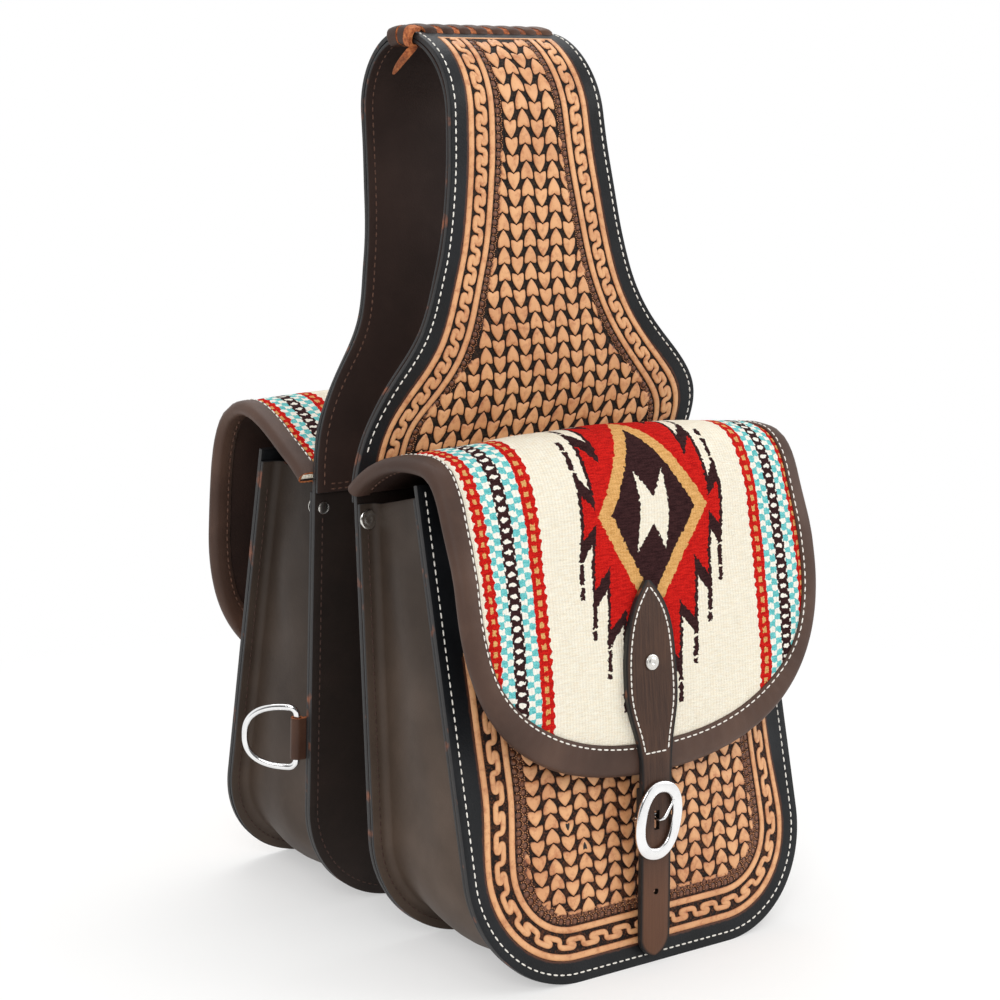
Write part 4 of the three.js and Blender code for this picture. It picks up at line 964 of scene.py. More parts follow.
def makeYoke(side):
    place = places[side]["yoke"]
    plan = yokePanel
    foot = bag["lap"] + bag["fit"]
    s = np.linspace(foot, yokeLength, plan["rows"])[:, None]
    crowded = np.sin(np.linspace(-1, 1, plan["columns"]) * plan["crowd"])[None]
    x = yokeHalf(s) * crowded / math.sin(plan["crowd"])
    s = s + 0 * x
    inset = yokeInset(x, s)
    top, low = yokeLength - plan["topGap"], foot + plan["toolingFoot"]
    def wave(x, s):
        calm = softStep(foot + plan["calm"][0], foot + plan["calm"][1], s)
        return plan["wave"] * softWave(x, s, plan["waveLength"], plan["waveStart"]) * calm
    tooled = sunkShare(plan, inset) * softStep(top + 1, top, s) * softStep(low, low + 1, s)
    rise = yokeFace - plan["sink"] * tooled + wave(x, s)
    field = np.where(s > top, np.minimum(inset, plan["margin"] - offField), inset)
    panel = gridPiece(side + "_yoke_tooled", place(x, s, rise), np.stack([x, s], -1),
                      np.stack([field, s], -1))
    finishSheet(panel, (tooledYoke, dyedEdge), yoke["thick"] - 0.1, plan["rounding"])

    onSkin = lambda x, s, n: place(x, s, n + wave(x, s))
    skinMirror = lambda x, s, n: onSkin(-x, s, n)
    mirror = lambda x, s, n: place(-x, s, n)
    cut = cutBetween(low, top - 1)
    base = yokeFace - plan["sink"]
    runs = borderRuns(yokeEdge, plan, onSkin, base, cut) + borderRuns(yokeEdge, plan, skinMirror, base, cut)
    wide, high, down = plan["topLine"]
    across = np.linspace(-1, 1, 40)[:, None] * [yokeHalf(top) - plan["margin"], 0] + [0, top - down]
    runs.append(raisedStrip(across, wide, high, onSkin, base))
    border = joinRuns(side + "_yoke_border", runs, tanTooling)
    beads = stippleCopies(yokeEdge, plan, onSkin, base, cut)
    beads = beads + stippleCopies(yokeEdge, plan, skinMirror, base, cut)
    stipple = copiesPiece(side + "_yoke_stipple", np.concatenate(beads), scallopModel[1], scallopModel[2])
    limit = plan["margin"] + plan["field"]
    def fieldInset(x, s):
        return np.minimum(yokeInset(x, s), np.minimum(top - s, s - low) - plan["endGap"] + limit)
    hearts, tones = heartCopies(onSkin, base, plan, low, top, fieldInset, limit)
    tiles = copiesPiece(side + "_yoke_hearts", hearts, heartModel[1], tones)
    dress(stipple, tanTooling)
    dress(tiles, tanTooling)

    seam = offsetLine(yokeEdge, plan["stitchIn"])
    rows = [sewLine(seam, put, yokeFace + stitch["up"], plan["stitchFrom"]) for put in (onSkin, skinMirror)]
    white = sewPiece(side + "_yoke_stitches", rows, whiteThread)

    # plain lining, with brown stitches along its edge and in two rows across the seam
    lowEdge = makeYokeEdge(0)
    s = np.linspace(0, yokeLength, 120)[:, None]
    x = yokeHalf(s, lowEdge) * np.linspace(-1, 1, 48)[None]
    s = s + 0 * x
    under = -bag["fit"] / 2 + 0 * x
    lining = gridPiece(side + "_yoke_lining_sheet", place(x, s, under), np.stack([x, s], -1))
    finishSheet(lining, (leathers["lining_leather"], dyedEdge), bag["lining"], plan["liningRounding"])
    inner = -bag["fit"] / 2 - bag["lining"]
    backward = lambda put: (lambda x, s, n: put(x, s, 2 * inner - n))
    seam = offsetLine(lowEdge, plan["liningStitchIn"])
    rows = [sewLine(seam, backward(put), inner, plan["liningStitchFrom"]) for put in (place, mirror)]
    for height in plan["seamRows"]:
        end = halfBag - plan["seamIn"]
        line = makeLine(np.linspace([-end, height], [end, height], 60))
        rows.append(sewLine(line, backward(place), inner))
    brown = sewPiece(side + "_lining_stitches", rows, brownThread)

    rideAll("bags", panel, border, stipple, tiles, white, lining, brown)
    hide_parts(side + "_yoke_panel")
    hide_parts(side + "_yoke_lining")

for side in sides:
    makeYoke(side)
print("yoke made")


# bag shells: back panel, sagging gusset and bulged tooled front
shell = {"margin": 12.3, "flare": 3.8, "flareRise": (65, 115), "columns": 84, "rows": 150, "sink": 0.45,
         "toolingTop": 190, "pitch": 10.1, "row": 8.45, "period": 16.3, "column": 2.2, "ribbon": 3.5,
         "middle": 9.8, "lineOut": 17.5, "stipple": 21.9, "stippleRows": 2, "field": 26.5,
         "topLine": (2.0, 0.6, 0.8), "studAt": 100, "studRoom": 5.3, "heartsDown": 6, "shade": 0.3,
         "fade": 0.52,
         "drops": [(-55.5, 88.2, 1), (-45.4, 75.6, -1)], "dropSize": (0.3, 0.4), "dropRise": 0.3,
         "sag": 0.7, "sagLength": 110, "sagStart": 0.3, "sagIn": 30, "stitchIn": 5.0, "stitchDown": 3,
         "rounding": 0.9, "backStitchIn": 5.5, "backStitchDown": 10}
gussetPlan = {"webBulge": 4.0, "bulgeFrom": 60, "bottomBulge": 4.5, "fold": 1.3, "foldLength": 85,
              "foldStart": (1.9, 4.2), "fillet": 6.0, "slant": 40, "slantRise": 60, "rows": 240,
              "stitchIn": 5.0, "stitchDown": 3, "stitchUp": 0.05, "rounding": 0.5}
tooledFront = makeTooled("tooled_front", shell["margin"], "#170d09", "#5c331d")

def bagHalf(z):
    r, flat = bag["corner"], halfBag - bag["corner"]
    down = np.clip(r - z, 0, r)
    return np.where(z < r, flat + np.sqrt(np.maximum(0, r * r - down * down)), halfBag)

def bagInset(x, z):
    r = bag["corner"]
    toSide = halfBag - np.abs(x)
    corner = r - np.hypot(r - toSide, r - z)
    return np.where((toSide < r) & (z < r), corner, np.minimum(toSide, z))

# rows of the panel's height, closer together around the rounded bottom
def panelRows(top, count):
    turn = np.linspace(0, math.pi / 2, count // 3)
    straight = np.linspace(bag["corner"], top, count - count // 3 + 1)[1:]
    return np.r_[bag["corner"] * (1 - np.cos(turn)), straight]

# gusset: one sheet turned out at both edges, its middle pushed out and creased a little
gussetBack, gussetFront = bag["seam"] - bag["drop"], bag["top"] - bag["drop"]

def gussetGrid():
    plan, fillet = gussetPlan, gussetPlan["fillet"]
    line = makeBagEdge(gussetFront)
    along = np.linspace(0, line["length"], plan["rows"])
    point, heading = onLine(line, along)
    deep = bag["flange"] + bag["web"] / 2
    flange = [(0.0, 0.0), (deep - fillet, 0.0)]
    flange += [(deep - fillet + fillet * math.sin(t), fillet * (1 - math.cos(t)))
               for t in np.linspace(0, math.pi / 2, 7)[1:]]
    section = [(inset, 0, depth) for inset, depth in flange]
    section += [(deep, share, 0.0) for share in np.linspace(0, 1, 15)[1:-1]]
    section += [(inset, 1, -depth) for inset, depth in flange[::-1]]
    grid = []
    for base, left, stop in zip(point, leftOf(heading), along):
        fromTop = min(stop, line["length"] - stop)
        slanted = base[1] > gussetBack - plan["slant"]  # towards the mouth the back flange ends lower
        lower = softStep(gussetFront - plan["slantRise"], gussetFront, base[1]) * slanted
        lower *= gussetFront - gussetBack
        for inset, share, depth in section:
            p = base + left * inset
            z = p[1] - lower * (1 - share)
            low = backOuter(z) + bag["fit"] + bag["web"] / 2
            high = frontPlane(z) - bag["panel"] - bag["fit"] - bag["web"] / 2
            if depth or share in (0, 1):
                u = (low if share == 0 else high) + depth
            else:
                u = low + fillet + (high - low - 2 * fillet) * share
            push = plan["webBulge"] * softStep(0, plan["bulgeFrom"], fromTop)
            push += plan["bottomBulge"] * max(0, left[1]) ** 2
            push += plan["fold"] * softWave(stop, u, plan["foldLength"], plan["foldStart"][int(base[0] >= 0)])
            push *= math.sin(math.pi * min(1, max(0, (u - low) / (high - low)))) ** 2
            if inset > deep - fillet:
                p = p - left * push * (inset - deep + fillet) / fillet
            grid.append((p[0], u, z if slanted else p[1]))
    return np.array(grid).reshape(len(along), len(section), 3)

def makeShell(side):
    plan = shell
    put = places[side]
    z = panelRows(bag["top"], plan["rows"])[:, None]
    x = bagHalf(z) * np.linspace(-1, 1, plan["columns"])[None]
    z = z + 0 * x
    inset = bagInset(x, z)
    top = plan["toolingTop"]
    flare = lambda z: plan["flare"] * softStep(*plan["flareRise"], z)  # the plain margin widens upwards
    toolInset = inset - flare(z)
    tooled = sunkShare(plan, toolInset) * softStep(top + 1, top, z)
    field = np.where(z > top, np.minimum(toolInset, plan["margin"] - offField), toolInset)

    def onSkin(x, z, n):  # the front with its sag
        sag = plan["sag"] * softWave(x, z, plan["sagLength"], plan["sagStart"])
        return put["front"](x, z, n + sag * softStep(0, plan["sagIn"], bagInset(x, z)))
    onTooling = lambda x, z, n: onSkin(x * (1 - flare(z) / (halfBag - plan["margin"])), z, n)
    panel = gridPiece(side + "_front_tooled", onSkin(x, z, -plan["sink"] * tooled), np.stack([x, z], -1),
                      np.stack([field, z], -1))
    finishSheet(panel, (tooledFront, dyedEdge), bag["panel"], plan["rounding"])

    edge = makeBagEdge(top)
    cut = lambda line: (1.0, line["length"] - 1.0)
    base = -plan["sink"]
    runs = borderRuns(edge, plan, onTooling, base, cut)
    wide, high, down = plan["topLine"]
    across = np.linspace(-1, 1, 40)[:, None] * [halfBag - plan["margin"], 0] + [0, top - down]
    runs.append(raisedStrip(across, wide, high, onTooling, base))
    border = joinRuns(side + "_front_border", runs, tanTooling)
    beads = np.concatenate(stippleCopies(edge, plan, onTooling, base, cut))
    stipple = copiesPiece(side + "_front_stipple", beads, scallopModel[1], scallopModel[2])
    limit = plan["margin"] + plan["field"]
    def fieldInset(x, z):  # clear of the press stud and of the tooling's top
        clear = np.minimum(top - z, np.hypot(x, z - plan["studAt"]) - plan["studRoom"])
        return np.minimum(bagInset(x, z) - flare(z), clear + limit)
    hearts, tones = heartCopies(onSkin, base, plan, limit - plan["heartsDown"], top, fieldInset, limit,
                                plan["shade"], plan["fade"])
    if side == "front":  # two small dyed drops on hearts beside the strap
        local = heartModel[0] * [*plan["dropSize"], 1]
        for x, z, way in plan["drops"]:
            drop = onSkin(x + way * local[:, 0], z + way * local[:, 1], base + local[:, 2] + plan["dropRise"])
            hearts, tones = np.concatenate([hearts, drop[None]]), np.vstack([tones, 0 * tones[:1]])
    tiles = copiesPiece(side + "_front_hearts", hearts, heartModel[1], tones)
    dress(stipple, tanTooling)
    dress(tiles, tanTooling)
    seam = offsetLine(makeBagEdge(bag["top"] - plan["stitchDown"]), plan["stitchIn"])
    white = sewPiece(side + "_front_stitches", [sewLine(seam, onSkin, stitch["up"])], whiteThread)

    # back panel, its stitches on the saddle side
    z = panelRows(bag["seam"], 90)[:, None]
    x = bagHalf(z) * np.linspace(-1, 1, 40)[None]
    z = z + 0 * x
    back = gridPiece(side + "_back_sheet", put["back"](x, z, 0 * x), np.stack([x, z], -1))
    finishSheet(back, (leathers["panel_leather"], dyedEdge), bag["panel"], plan["rounding"])
    seam = offsetLine(makeBagEdge(bag["seam"] - plan["backStitchDown"]), plan["backStitchIn"])
    behind = lambda x, z, n: put["back"](x, z, -bag["panel"] - n)
    rows = [sewLine(seam, behind, 0.0)]

    grid = gussetGrid()
    gusset = gridPiece(side + "_gusset_sheet", put["world"](grid[..., 0], grid[..., 1], grid[..., 2]))
    finishSheet(gusset, (leathers["gusset_leather"], dyedEdge), bag["web"], gussetPlan["rounding"], 0.0)

    # brown stitches on both flanges
    seam = offsetLine(makeBagEdge(gussetBack - gussetPlan["stitchDown"]), gussetPlan["stitchIn"])
    onFlange = lambda x, z, n: put["world"](x, backOuter(z) + bag["fit"] + bag["web"] + n, z)
    inward = bag["panel"] + bag["fit"] + bag["web"]
    underFlange = lambda x, z, n: put["world"](x, frontPlane(z) - inward - n, z)
    rows += [sewLine(seam, place, gussetPlan["stitchUp"]) for place in (onFlange, underFlange)]
    brown = sewPiece(side + "_shell_stitches", rows, darkThread)

    rideAll("bags", panel, border, stipple, tiles, white, back, gusset, brown)
    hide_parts(side + "_front_panel")
    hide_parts(side + "_bag_back_panel")
    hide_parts(side + "_gusset")

for side in sides:
    makeShell(side)
print("bag shells made")


# flaps: woven blanket, lining, rolled binding and stitches
flapPlan = {"columns": 110, "rows": 130, "crown": 1.5, "settle": (3, 9), "wave": 0.5, "waveLength": 55,
            "waveStart": 0.2, "strapAcross": (34, 22), "strapFrom": (165, 180), "pressed": 0.25,
            "pucker": 0.25, "puckerTurn": 1.9, "puckerIn": (4, 10), "sideShare": 0.68,
            "sideEnds": (70, 8), "flatFoot": 12, "stitchIn": 16.8, "stitchFrom": 9,
            "insideStitchIn": 15.5, "insideStitchFrom": 3, "stitchUp": 0.12, "rounding": 0.6,
            "liningRows": 70, "liningColumns": 40, "bindingRows": 100}
flapDepth = 2 * flap["binding"] + 3 * bag["fit"] + flap["wool"] + flap["lining"]
woolTop = -flap["binding"] - bag["fit"]
woolBase = woolTop - flap["wool"]

# how much of its full width the binding shows: all of it at the foot, less up the sides
def bindingShare(s):
    first, last = flapPlan["sideEnds"]
    least = flapPlan["sideShare"]
    return least + (1 - least) * softStep(flapLength - first, flapLength - last, s)

def bindingLine(line, inset):
    points = line["points"]
    return makeLine(points + leftOf(line["heading"]) * (inset * bindingShare(points[:, 1]))[:, None])

def flapInset(x, s):
    points = flapEdge["points"]
    flatX, flatS = np.abs(x).reshape(-1), s.reshape(-1)
    best = np.full(len(flatX), 1e9)
    for px, ps in points[::2]:
        best = np.minimum(best, (flatX - px) ** 2 + (flatS - ps) ** 2)
    return np.sqrt(best).reshape(x.shape)

# rows closer together near the rounded foot, whose last row is the flat middle of the edge
def flapGrid(inset, rows, columns):
    line = offsetLine(flapEdge, inset)
    keep = line["points"][:, 0] > flapPlan["flatFoot"]
    edge = makeLine(line["points"][keep])
    point = onLine(edge, np.linspace(0, edge["length"], rows))[0]
    x = point[:, :1] * np.linspace(-1, 1, columns)[None]
    return x, point[:, 1:] + 0 * x

def makeFlap(side):
    plan = flapPlan
    place = places[side]["flap"]
    body = side + "_flap"
    folded = flap["binding"] + bag["fit"]
    x, s = flapGrid(folded, plan["rows"], plan["columns"])
    before, after = plan["settle"]
    inset, bound = flapInset(x, s) / bindingShare(s), flap["bindingWidth"]
    inner = softStep(bound - before, bound + after, inset)
    strapped = softStep(*plan["strapAcross"], np.abs(x)) * softStep(*plan["strapFrom"], s)
    puffed = plan["crown"] + plan["wave"] * softWave(x, s, plan["waveLength"], plan["waveStart"])
    top = woolTop + inner * puffed * (1 - plan["pressed"] * strapped)
    blanket = gridPiece(side + "_blanket", place(x, s, top), np.stack([x, s], -1), flip=True)
    finishSheet(blanket, (wovenBlanket,), flap["wool"], plan["rounding"])

    x, s = flapGrid(folded, plan["liningRows"], plan["liningColumns"])
    under = woolBase - bag["fit"] + 0 * x
    lining = gridPiece(side + "_flap_lining_sheet", place(x, s, under), np.stack([x, s], -1), flip=True)
    dress(lining, leathers["lining_leather"])
    thicken(lining, flap["lining"])
    smooth(lining)

    # the binding's section: along the outside, round the rolled edge, back along the inside, and the hollow
    deep, wide, fold = flapDepth, flap["bindingWidth"], flap["binding"]
    roll = deep / 2
    turn = np.linspace(math.pi / 2, -math.pi / 2, 9)
    outer = [(wide, -0.55), (wide - 0.5, -0.1), (wide - 2.6, 0.0), (wide * 0.7, 0.25), (wide * 0.45, 0.3)]
    outer += [(roll - roll * math.cos(t), -roll + roll * math.sin(t)) for t in turn]
    outer += [(wide * 0.5, -deep), (wide - 0.5, -deep + 0.1), (wide, -deep + 0.5)]
    hollow = [(wide, fold - deep), (roll, fold - deep), (fold + 0.6, -deep / 2), (roll, -fold), (wide, -fold)]
    section = np.array(outer + hollow + outer[:1])
    lines = []
    for inset in section[:, 0]:
        half = (bindingLine if inset > roll else offsetLine)(flapEdge, inset)["points"]
        half = half[np.linspace(0, len(half) - 1, plan["bindingRows"]).astype(int)]
        half[-1, 0] = 0
        lines.append(np.vstack([half, half[::-1][1:] * [-1, 1]]))
    flat = np.stack(lines, 1)
    pucker = plan["pucker"] * np.sin(np.arange(len(flat))[:, None] * plan["puckerTurn"])
    outside = softStep(*plan["puckerIn"], section[None, :, 0]) * (section[None, :, 1] > -1)
    depth = section[None, :, 1] + pucker * outside
    binding = gridPiece(side + "_binding", place(flat[..., 0], flat[..., 1], depth))
    closeTube(binding)
    dress(binding, leathers["binding_leather"], rawEdge)
    for face in binding.data.polygons:  # the two cut ends at the hinge
        if len(face.vertices) > 6:
            face.material_index = 1
    smooth(binding, 60)

    halves = flapEdge["points"]
    whole = makeLine(np.vstack([halves, halves[::-1][1:] * [-1, 1]]))
    seam = bindingLine(whole, plan["stitchIn"])
    end = plan["stitchFrom"]
    rows = [sewLine(seam, place, plan["stitchUp"], end, seam["length"] - end)]
    white = sewPiece(side + "_binding_stitches", rows, whiteThread)
    seam = bindingLine(whole, plan["insideStitchIn"])
    inside = lambda x, s, n: place(x, s, -flapDepth - n)
    end = plan["insideStitchFrom"]
    rows = [sewLine(seam, inside, 0.0, end, seam["length"] - end)]
    brown = sewPiece(side + "_binding_inside_stitches", rows, brownThread)

    rideAll(body, blanket, lining, binding, white, brown)
    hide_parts(side + "_flap_blanket")
    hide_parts(side + "_flap_lining")
    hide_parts(side + "_flap_binding")
    area = 2 * np.trapz(flapEdge["points"][:, 0] - folded, flapEdge["points"][:, 1]) * mm * mm

for side in sides:
    makeFlap(side)
print("flaps made")


# spade-headed strap with its stitches, holes and rivet
strap = {"thick": 3.0, "wide": 21.5, "head": 37, "askew": 2.5, "headTop": 112, "headMiddle": 53,
         "tail": 5, "taper": 12, "tip": 1.6, "shift": -4.0, "dome": 0.35, "domeIn": 5, "sunk": 0.3,
         "holes": (65.5, 44.0), "holeSize": 1.8, "slotWide": 3.7, "slotHigh": 11.4, "slotDown": 0.3,
         "cutThrough": 20, "cutMiddle": 2, "rounding": 0.5, "roundFrom": 60, "stitchIn": 3.2,
         "stitchGap": 0.3, "pitch": 3.9, "rivet": 66, "crossRow": 14}
buckle = {"height": 87, "wide": 33, "high": 46.5, "tilt": 11.0, "skew": 8.5, "rim": 7.0, "square": 0.86,
          "thick": 3.0, "bar": 1.7, "barShare": 1.7, "post": 1.0, "postAt": 0.82, "postOver": 1.5,
          "postBack": 1.2, "tongue": 3.0, "eye": 1.2, "eyeLength": 8, "slim": 0.62, "taper": 14,
          "narrowing": 0.35, "tip": 1.2, "tipShare": 0.6, "rimShare": 1.7, "chape": 17, "leather": 1.6,
          "chapeLength": 18, "foldEnd": (8.0, 5.0), "band": 6, "gap": 0.6, "slot": 6, "chapeRounding": 0.25,
          "snap": 5.0, "stud": 1.8, "snapRings": [(1.2, -0.15), (1.4, 0.1)]}
footU = flapLine["points"][-1, 0]
strapNear, strapFar = bag["fit"], bag["fit"] + strap["thick"]
barU = footU + strapNear - bag["fit"] - (buckle["bar"] + bag["fit"] + buckle["leather"])
rimU = footU + strapFar + bag["fit"] + buckle["thick"] / 2

def makeStrapEdge():
    rise = lambda r: flapLength - r
    wide, head, top, middle = strap["wide"] / 2, strap["head"] / 2, strap["headTop"], strap["headMiddle"]
    tail, taper = rise(strap["tail"] - flap["bottom"]), strap["taper"]
    spade = [[strap["tip"], rise(top)], [head * 0.6, rise(top * 0.9)], [head, rise(middle * 1.72)],
             [head, rise(middle)]]
    neck = [[head, rise(middle)], [head, rise(middle * 0.6)], [wide, rise(middle / 2)], [wide, rise(0)]]
    end = [[wide, tail - taper], [wide, tail - taper * 0.6], [wide * 0.6, tail - 1], [wide * 0.12, tail]]
    straight = np.linspace([wide, rise(0)], [wide, tail - taper], 40)
    return makeLine(bezier(spade, 80), bezier(neck, 60), straight, bezier(end, 24))

# the strap was sewn on a little askew, its head to one side
def onStrap(side):
    place = places[side]["flap"]
    def put(x, s, n):
        share = np.clip((flapLength - s) / strap["headTop"], 0, 1)
        sway = softStep(0, 0.5, share) - softStep(0.55, 1, share)
        return place(x + strap["shift"] - strap["askew"] * sway, s, n)
    return put

def punch(piece, cutters):
    for cutter in cutters:
        applyModifier(piece, "BOOLEAN", operation="DIFFERENCE", object=cutter, solver="EXACT")
        bpy.data.objects.remove(cutter, do_unlink=True)

def makeStrap(side):
    place = onStrap(side)
    edge = makeStrapEdge()
    point = onLine(edge, np.linspace(0, edge["length"], 150))[0]
    x = point[:, :1] * np.linspace(-1, 1, 25)[None]
    s = point[:, 1:] + 0 * x
    slope = np.gradient(point[:, 0], point[:, 1])[:, None]
    inset = (point[:, :1] - np.abs(x)) / np.hypot(1, slope)
    dome = strap["dome"] * softStep(0, strap["domeIn"], inset)
    top = place(x, s, strapFar - strap["sunk"] + dome)
    piece = gridPiece(side + "_strap_leather", top, np.stack([x, s], -1), np.stack([inset, s], -1), flip=True)
    dress(piece, strapLeather, dyedEdge)
    thicken(piece, strap["thick"], 1)
    turn, through = turns[side], strap["cutThrough"]
    middle = (turn * strap["shift"], -turn * (footU + strap["cutMiddle"]))
    size = strap["holeSize"]
    cutters = [addRod(size, through, (*middle, height), outwards, 20) for height in strap["holes"]]
    at = (*middle, buckle["height"] - strap["slotDown"])
    bpy.ops.mesh.primitive_cube_add(size=1, location=[c * mm for c in at])
    slot = bpy.context.object
    slot.scale = (strap["slotWide"] * mm, through * mm, strap["slotHigh"] * mm)
    bpy.ops.object.transform_apply(location=False, rotation=False, scale=True)
    punch(piece, cutters + [slot])
    roundEdges(piece, strap["rounding"], angle=strap["roundFrom"])
    smooth(piece, crisp)

    # white stitches around the head, and a row across above the binding
    seam = offsetLine(edge, strap["stitchIn"])
    points, low = seam["points"], flapLength - strap["crossRow"]
    half = makeLine(points[(points[:, 0] > strap["stitchGap"]) & (points[:, 1] < low)])
    mirror = lambda x, s, n: place(-x, s, n)
    base = strapFar + stitch["up"]
    rows = [sewLine(half, put, base, 0, None, strap["pitch"]) for put in (place, mirror)]
    wide = half["points"][-1, 0]
    cross = makeLine(np.linspace([-wide, low], [wide, low], 20))
    rows.append(sewLine(cross, place, base, 0, None, strap["pitch"]))
    white = sewPiece(side + "_strap_stitches", rows, whiteThread)
    rideAll(side + "_flap", piece, white)
    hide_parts(side + "_strap")

for side in sides:
    makeStrap(side)
print("straps made")


# rivets: a stepped head with rings, turned from a disc; its profile is in shares of the head's size
rivet = {"shank": 2.0, "neck": 0.3, "high": 1.6, "burr": 3.6, "burrHigh": 1.0, "burrFoot": 0.8,
         "burrEdge": 0.4, "overlap": 0.2,
         "profile": [(1.0, 0.0), (1.0, 0.35), (0.94, 0.6), (0.8, 0.72), (0.72, 0.66), (0.62, 0.7),
                     (0.5, 0.95), (0.3, 1.0), (0.24, 0.9), (0.1, 0.86)]}

def turnDisc(radius, height, rings):
    deselect()
    bpy.ops.mesh.primitive_circle_add(vertices=36, radius=radius, fill_type="NGON")
    model = bpy.context.object
    bpy.ops.object.mode_set(mode="EDIT")
    bpy.ops.mesh.select_all(action="SELECT")
    bpy.ops.transform.translate(value=(0, 0, height))
    growRings(rings, radius, height)
    bpy.ops.object.mode_set(mode="OBJECT")
    return takeModel(model)

def modelRivet(head, grip):
    shank, neck, burr = rivet["shank"], rivet["neck"], rivet["burr"]
    rings = [(head * share, neck + rivet["high"] * rise) for share, rise in rivet["profile"]]
    points, faces = turnDisc(shank, 0.0, [(shank, neck)] + rings)
    low = -grip - bag["fit"] - rivet["burrHigh"]
    top = low + rivet["burrHigh"]
    rings = [(burr, low + rivet["burrEdge"]), (burr, top), (shank, top), (shank, rivet["overlap"])]
    lowPoints, lowFaces = turnDisc(burr * rivet["burrFoot"], low, rings)
    return np.vstack([points, lowPoints]), faces + [[k + len(points) for k in face] for face in lowFaces]

def setRivet(name, model, origin, out, finish):
    points, faces = model
    turn = np.array(Vector((0, 0, 1)).rotation_difference(Vector(out)).to_matrix())
    piece = copiesPiece(name, (points @ turn.T + origin)[None], faces)
    editAll(piece, lambda: bpy.ops.mesh.remove_doubles(threshold=1e-7),
            lambda: bpy.ops.mesh.normals_make_consistent(inside=False))
    piece.data.materials.append(finish)
    smooth(piece, crisp)
    return piece

cornerRivet = {"head": 5.8, "x": 117.0, "z": 255.0}
strapRivet = {"head": 4.6}
cornerModel = modelRivet(cornerRivet["head"], bag["web"] + bag["fit"] + bag["panel"])
strapGrip = strapFar - (woolBase - bag["fit"] - flap["lining"])
strapModel = modelRivet(strapRivet["head"], strapGrip)

def makeRivets(side):
    put = places[side]
    for label, sign in (("left", -1), ("right", 1)):
        z = cornerRivet["z"]
        seat = bag["fit"] + bag["web"]
        foot = put["back"](sign * cornerRivet["x"], z, seat)
        out = put["back"](sign * cornerRivet["x"], z, seat + 1) - foot + np.array([0, 0, bag["lean"]])
        piece = setRivet(side + "_rivet_" + label, cornerModel, foot, out / np.linalg.norm(out), nickel)
        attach(piece, "bags")
        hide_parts(side + "_corner_rivet_" + label)
    s = flapLength - strap["rivet"]
    foot = onStrap(side)(np.array(0.0), np.array(s), np.array(strapFar))
    out = onStrap(side)(np.array(0.0), np.array(s), np.array(strapFar + 1)) - foot
    piece = setRivet(side + "_spade_rivet", strapModel, foot, out, nickel)
    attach(piece, side + "_flap")
    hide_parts(side + "_strap_rivet")

for side in sides:
    makeRivets(side)
print("rivets set")


# oval buckle, tongue, chape and press stud; folded leather is a little thinner than its room
foldSlack = 0.1

def arcPoints(x, z, radius, first, last, count):
    return [(x + radius * math.cos(t), z + radius * math.sin(t)) for t in np.linspace(first, last, count)]

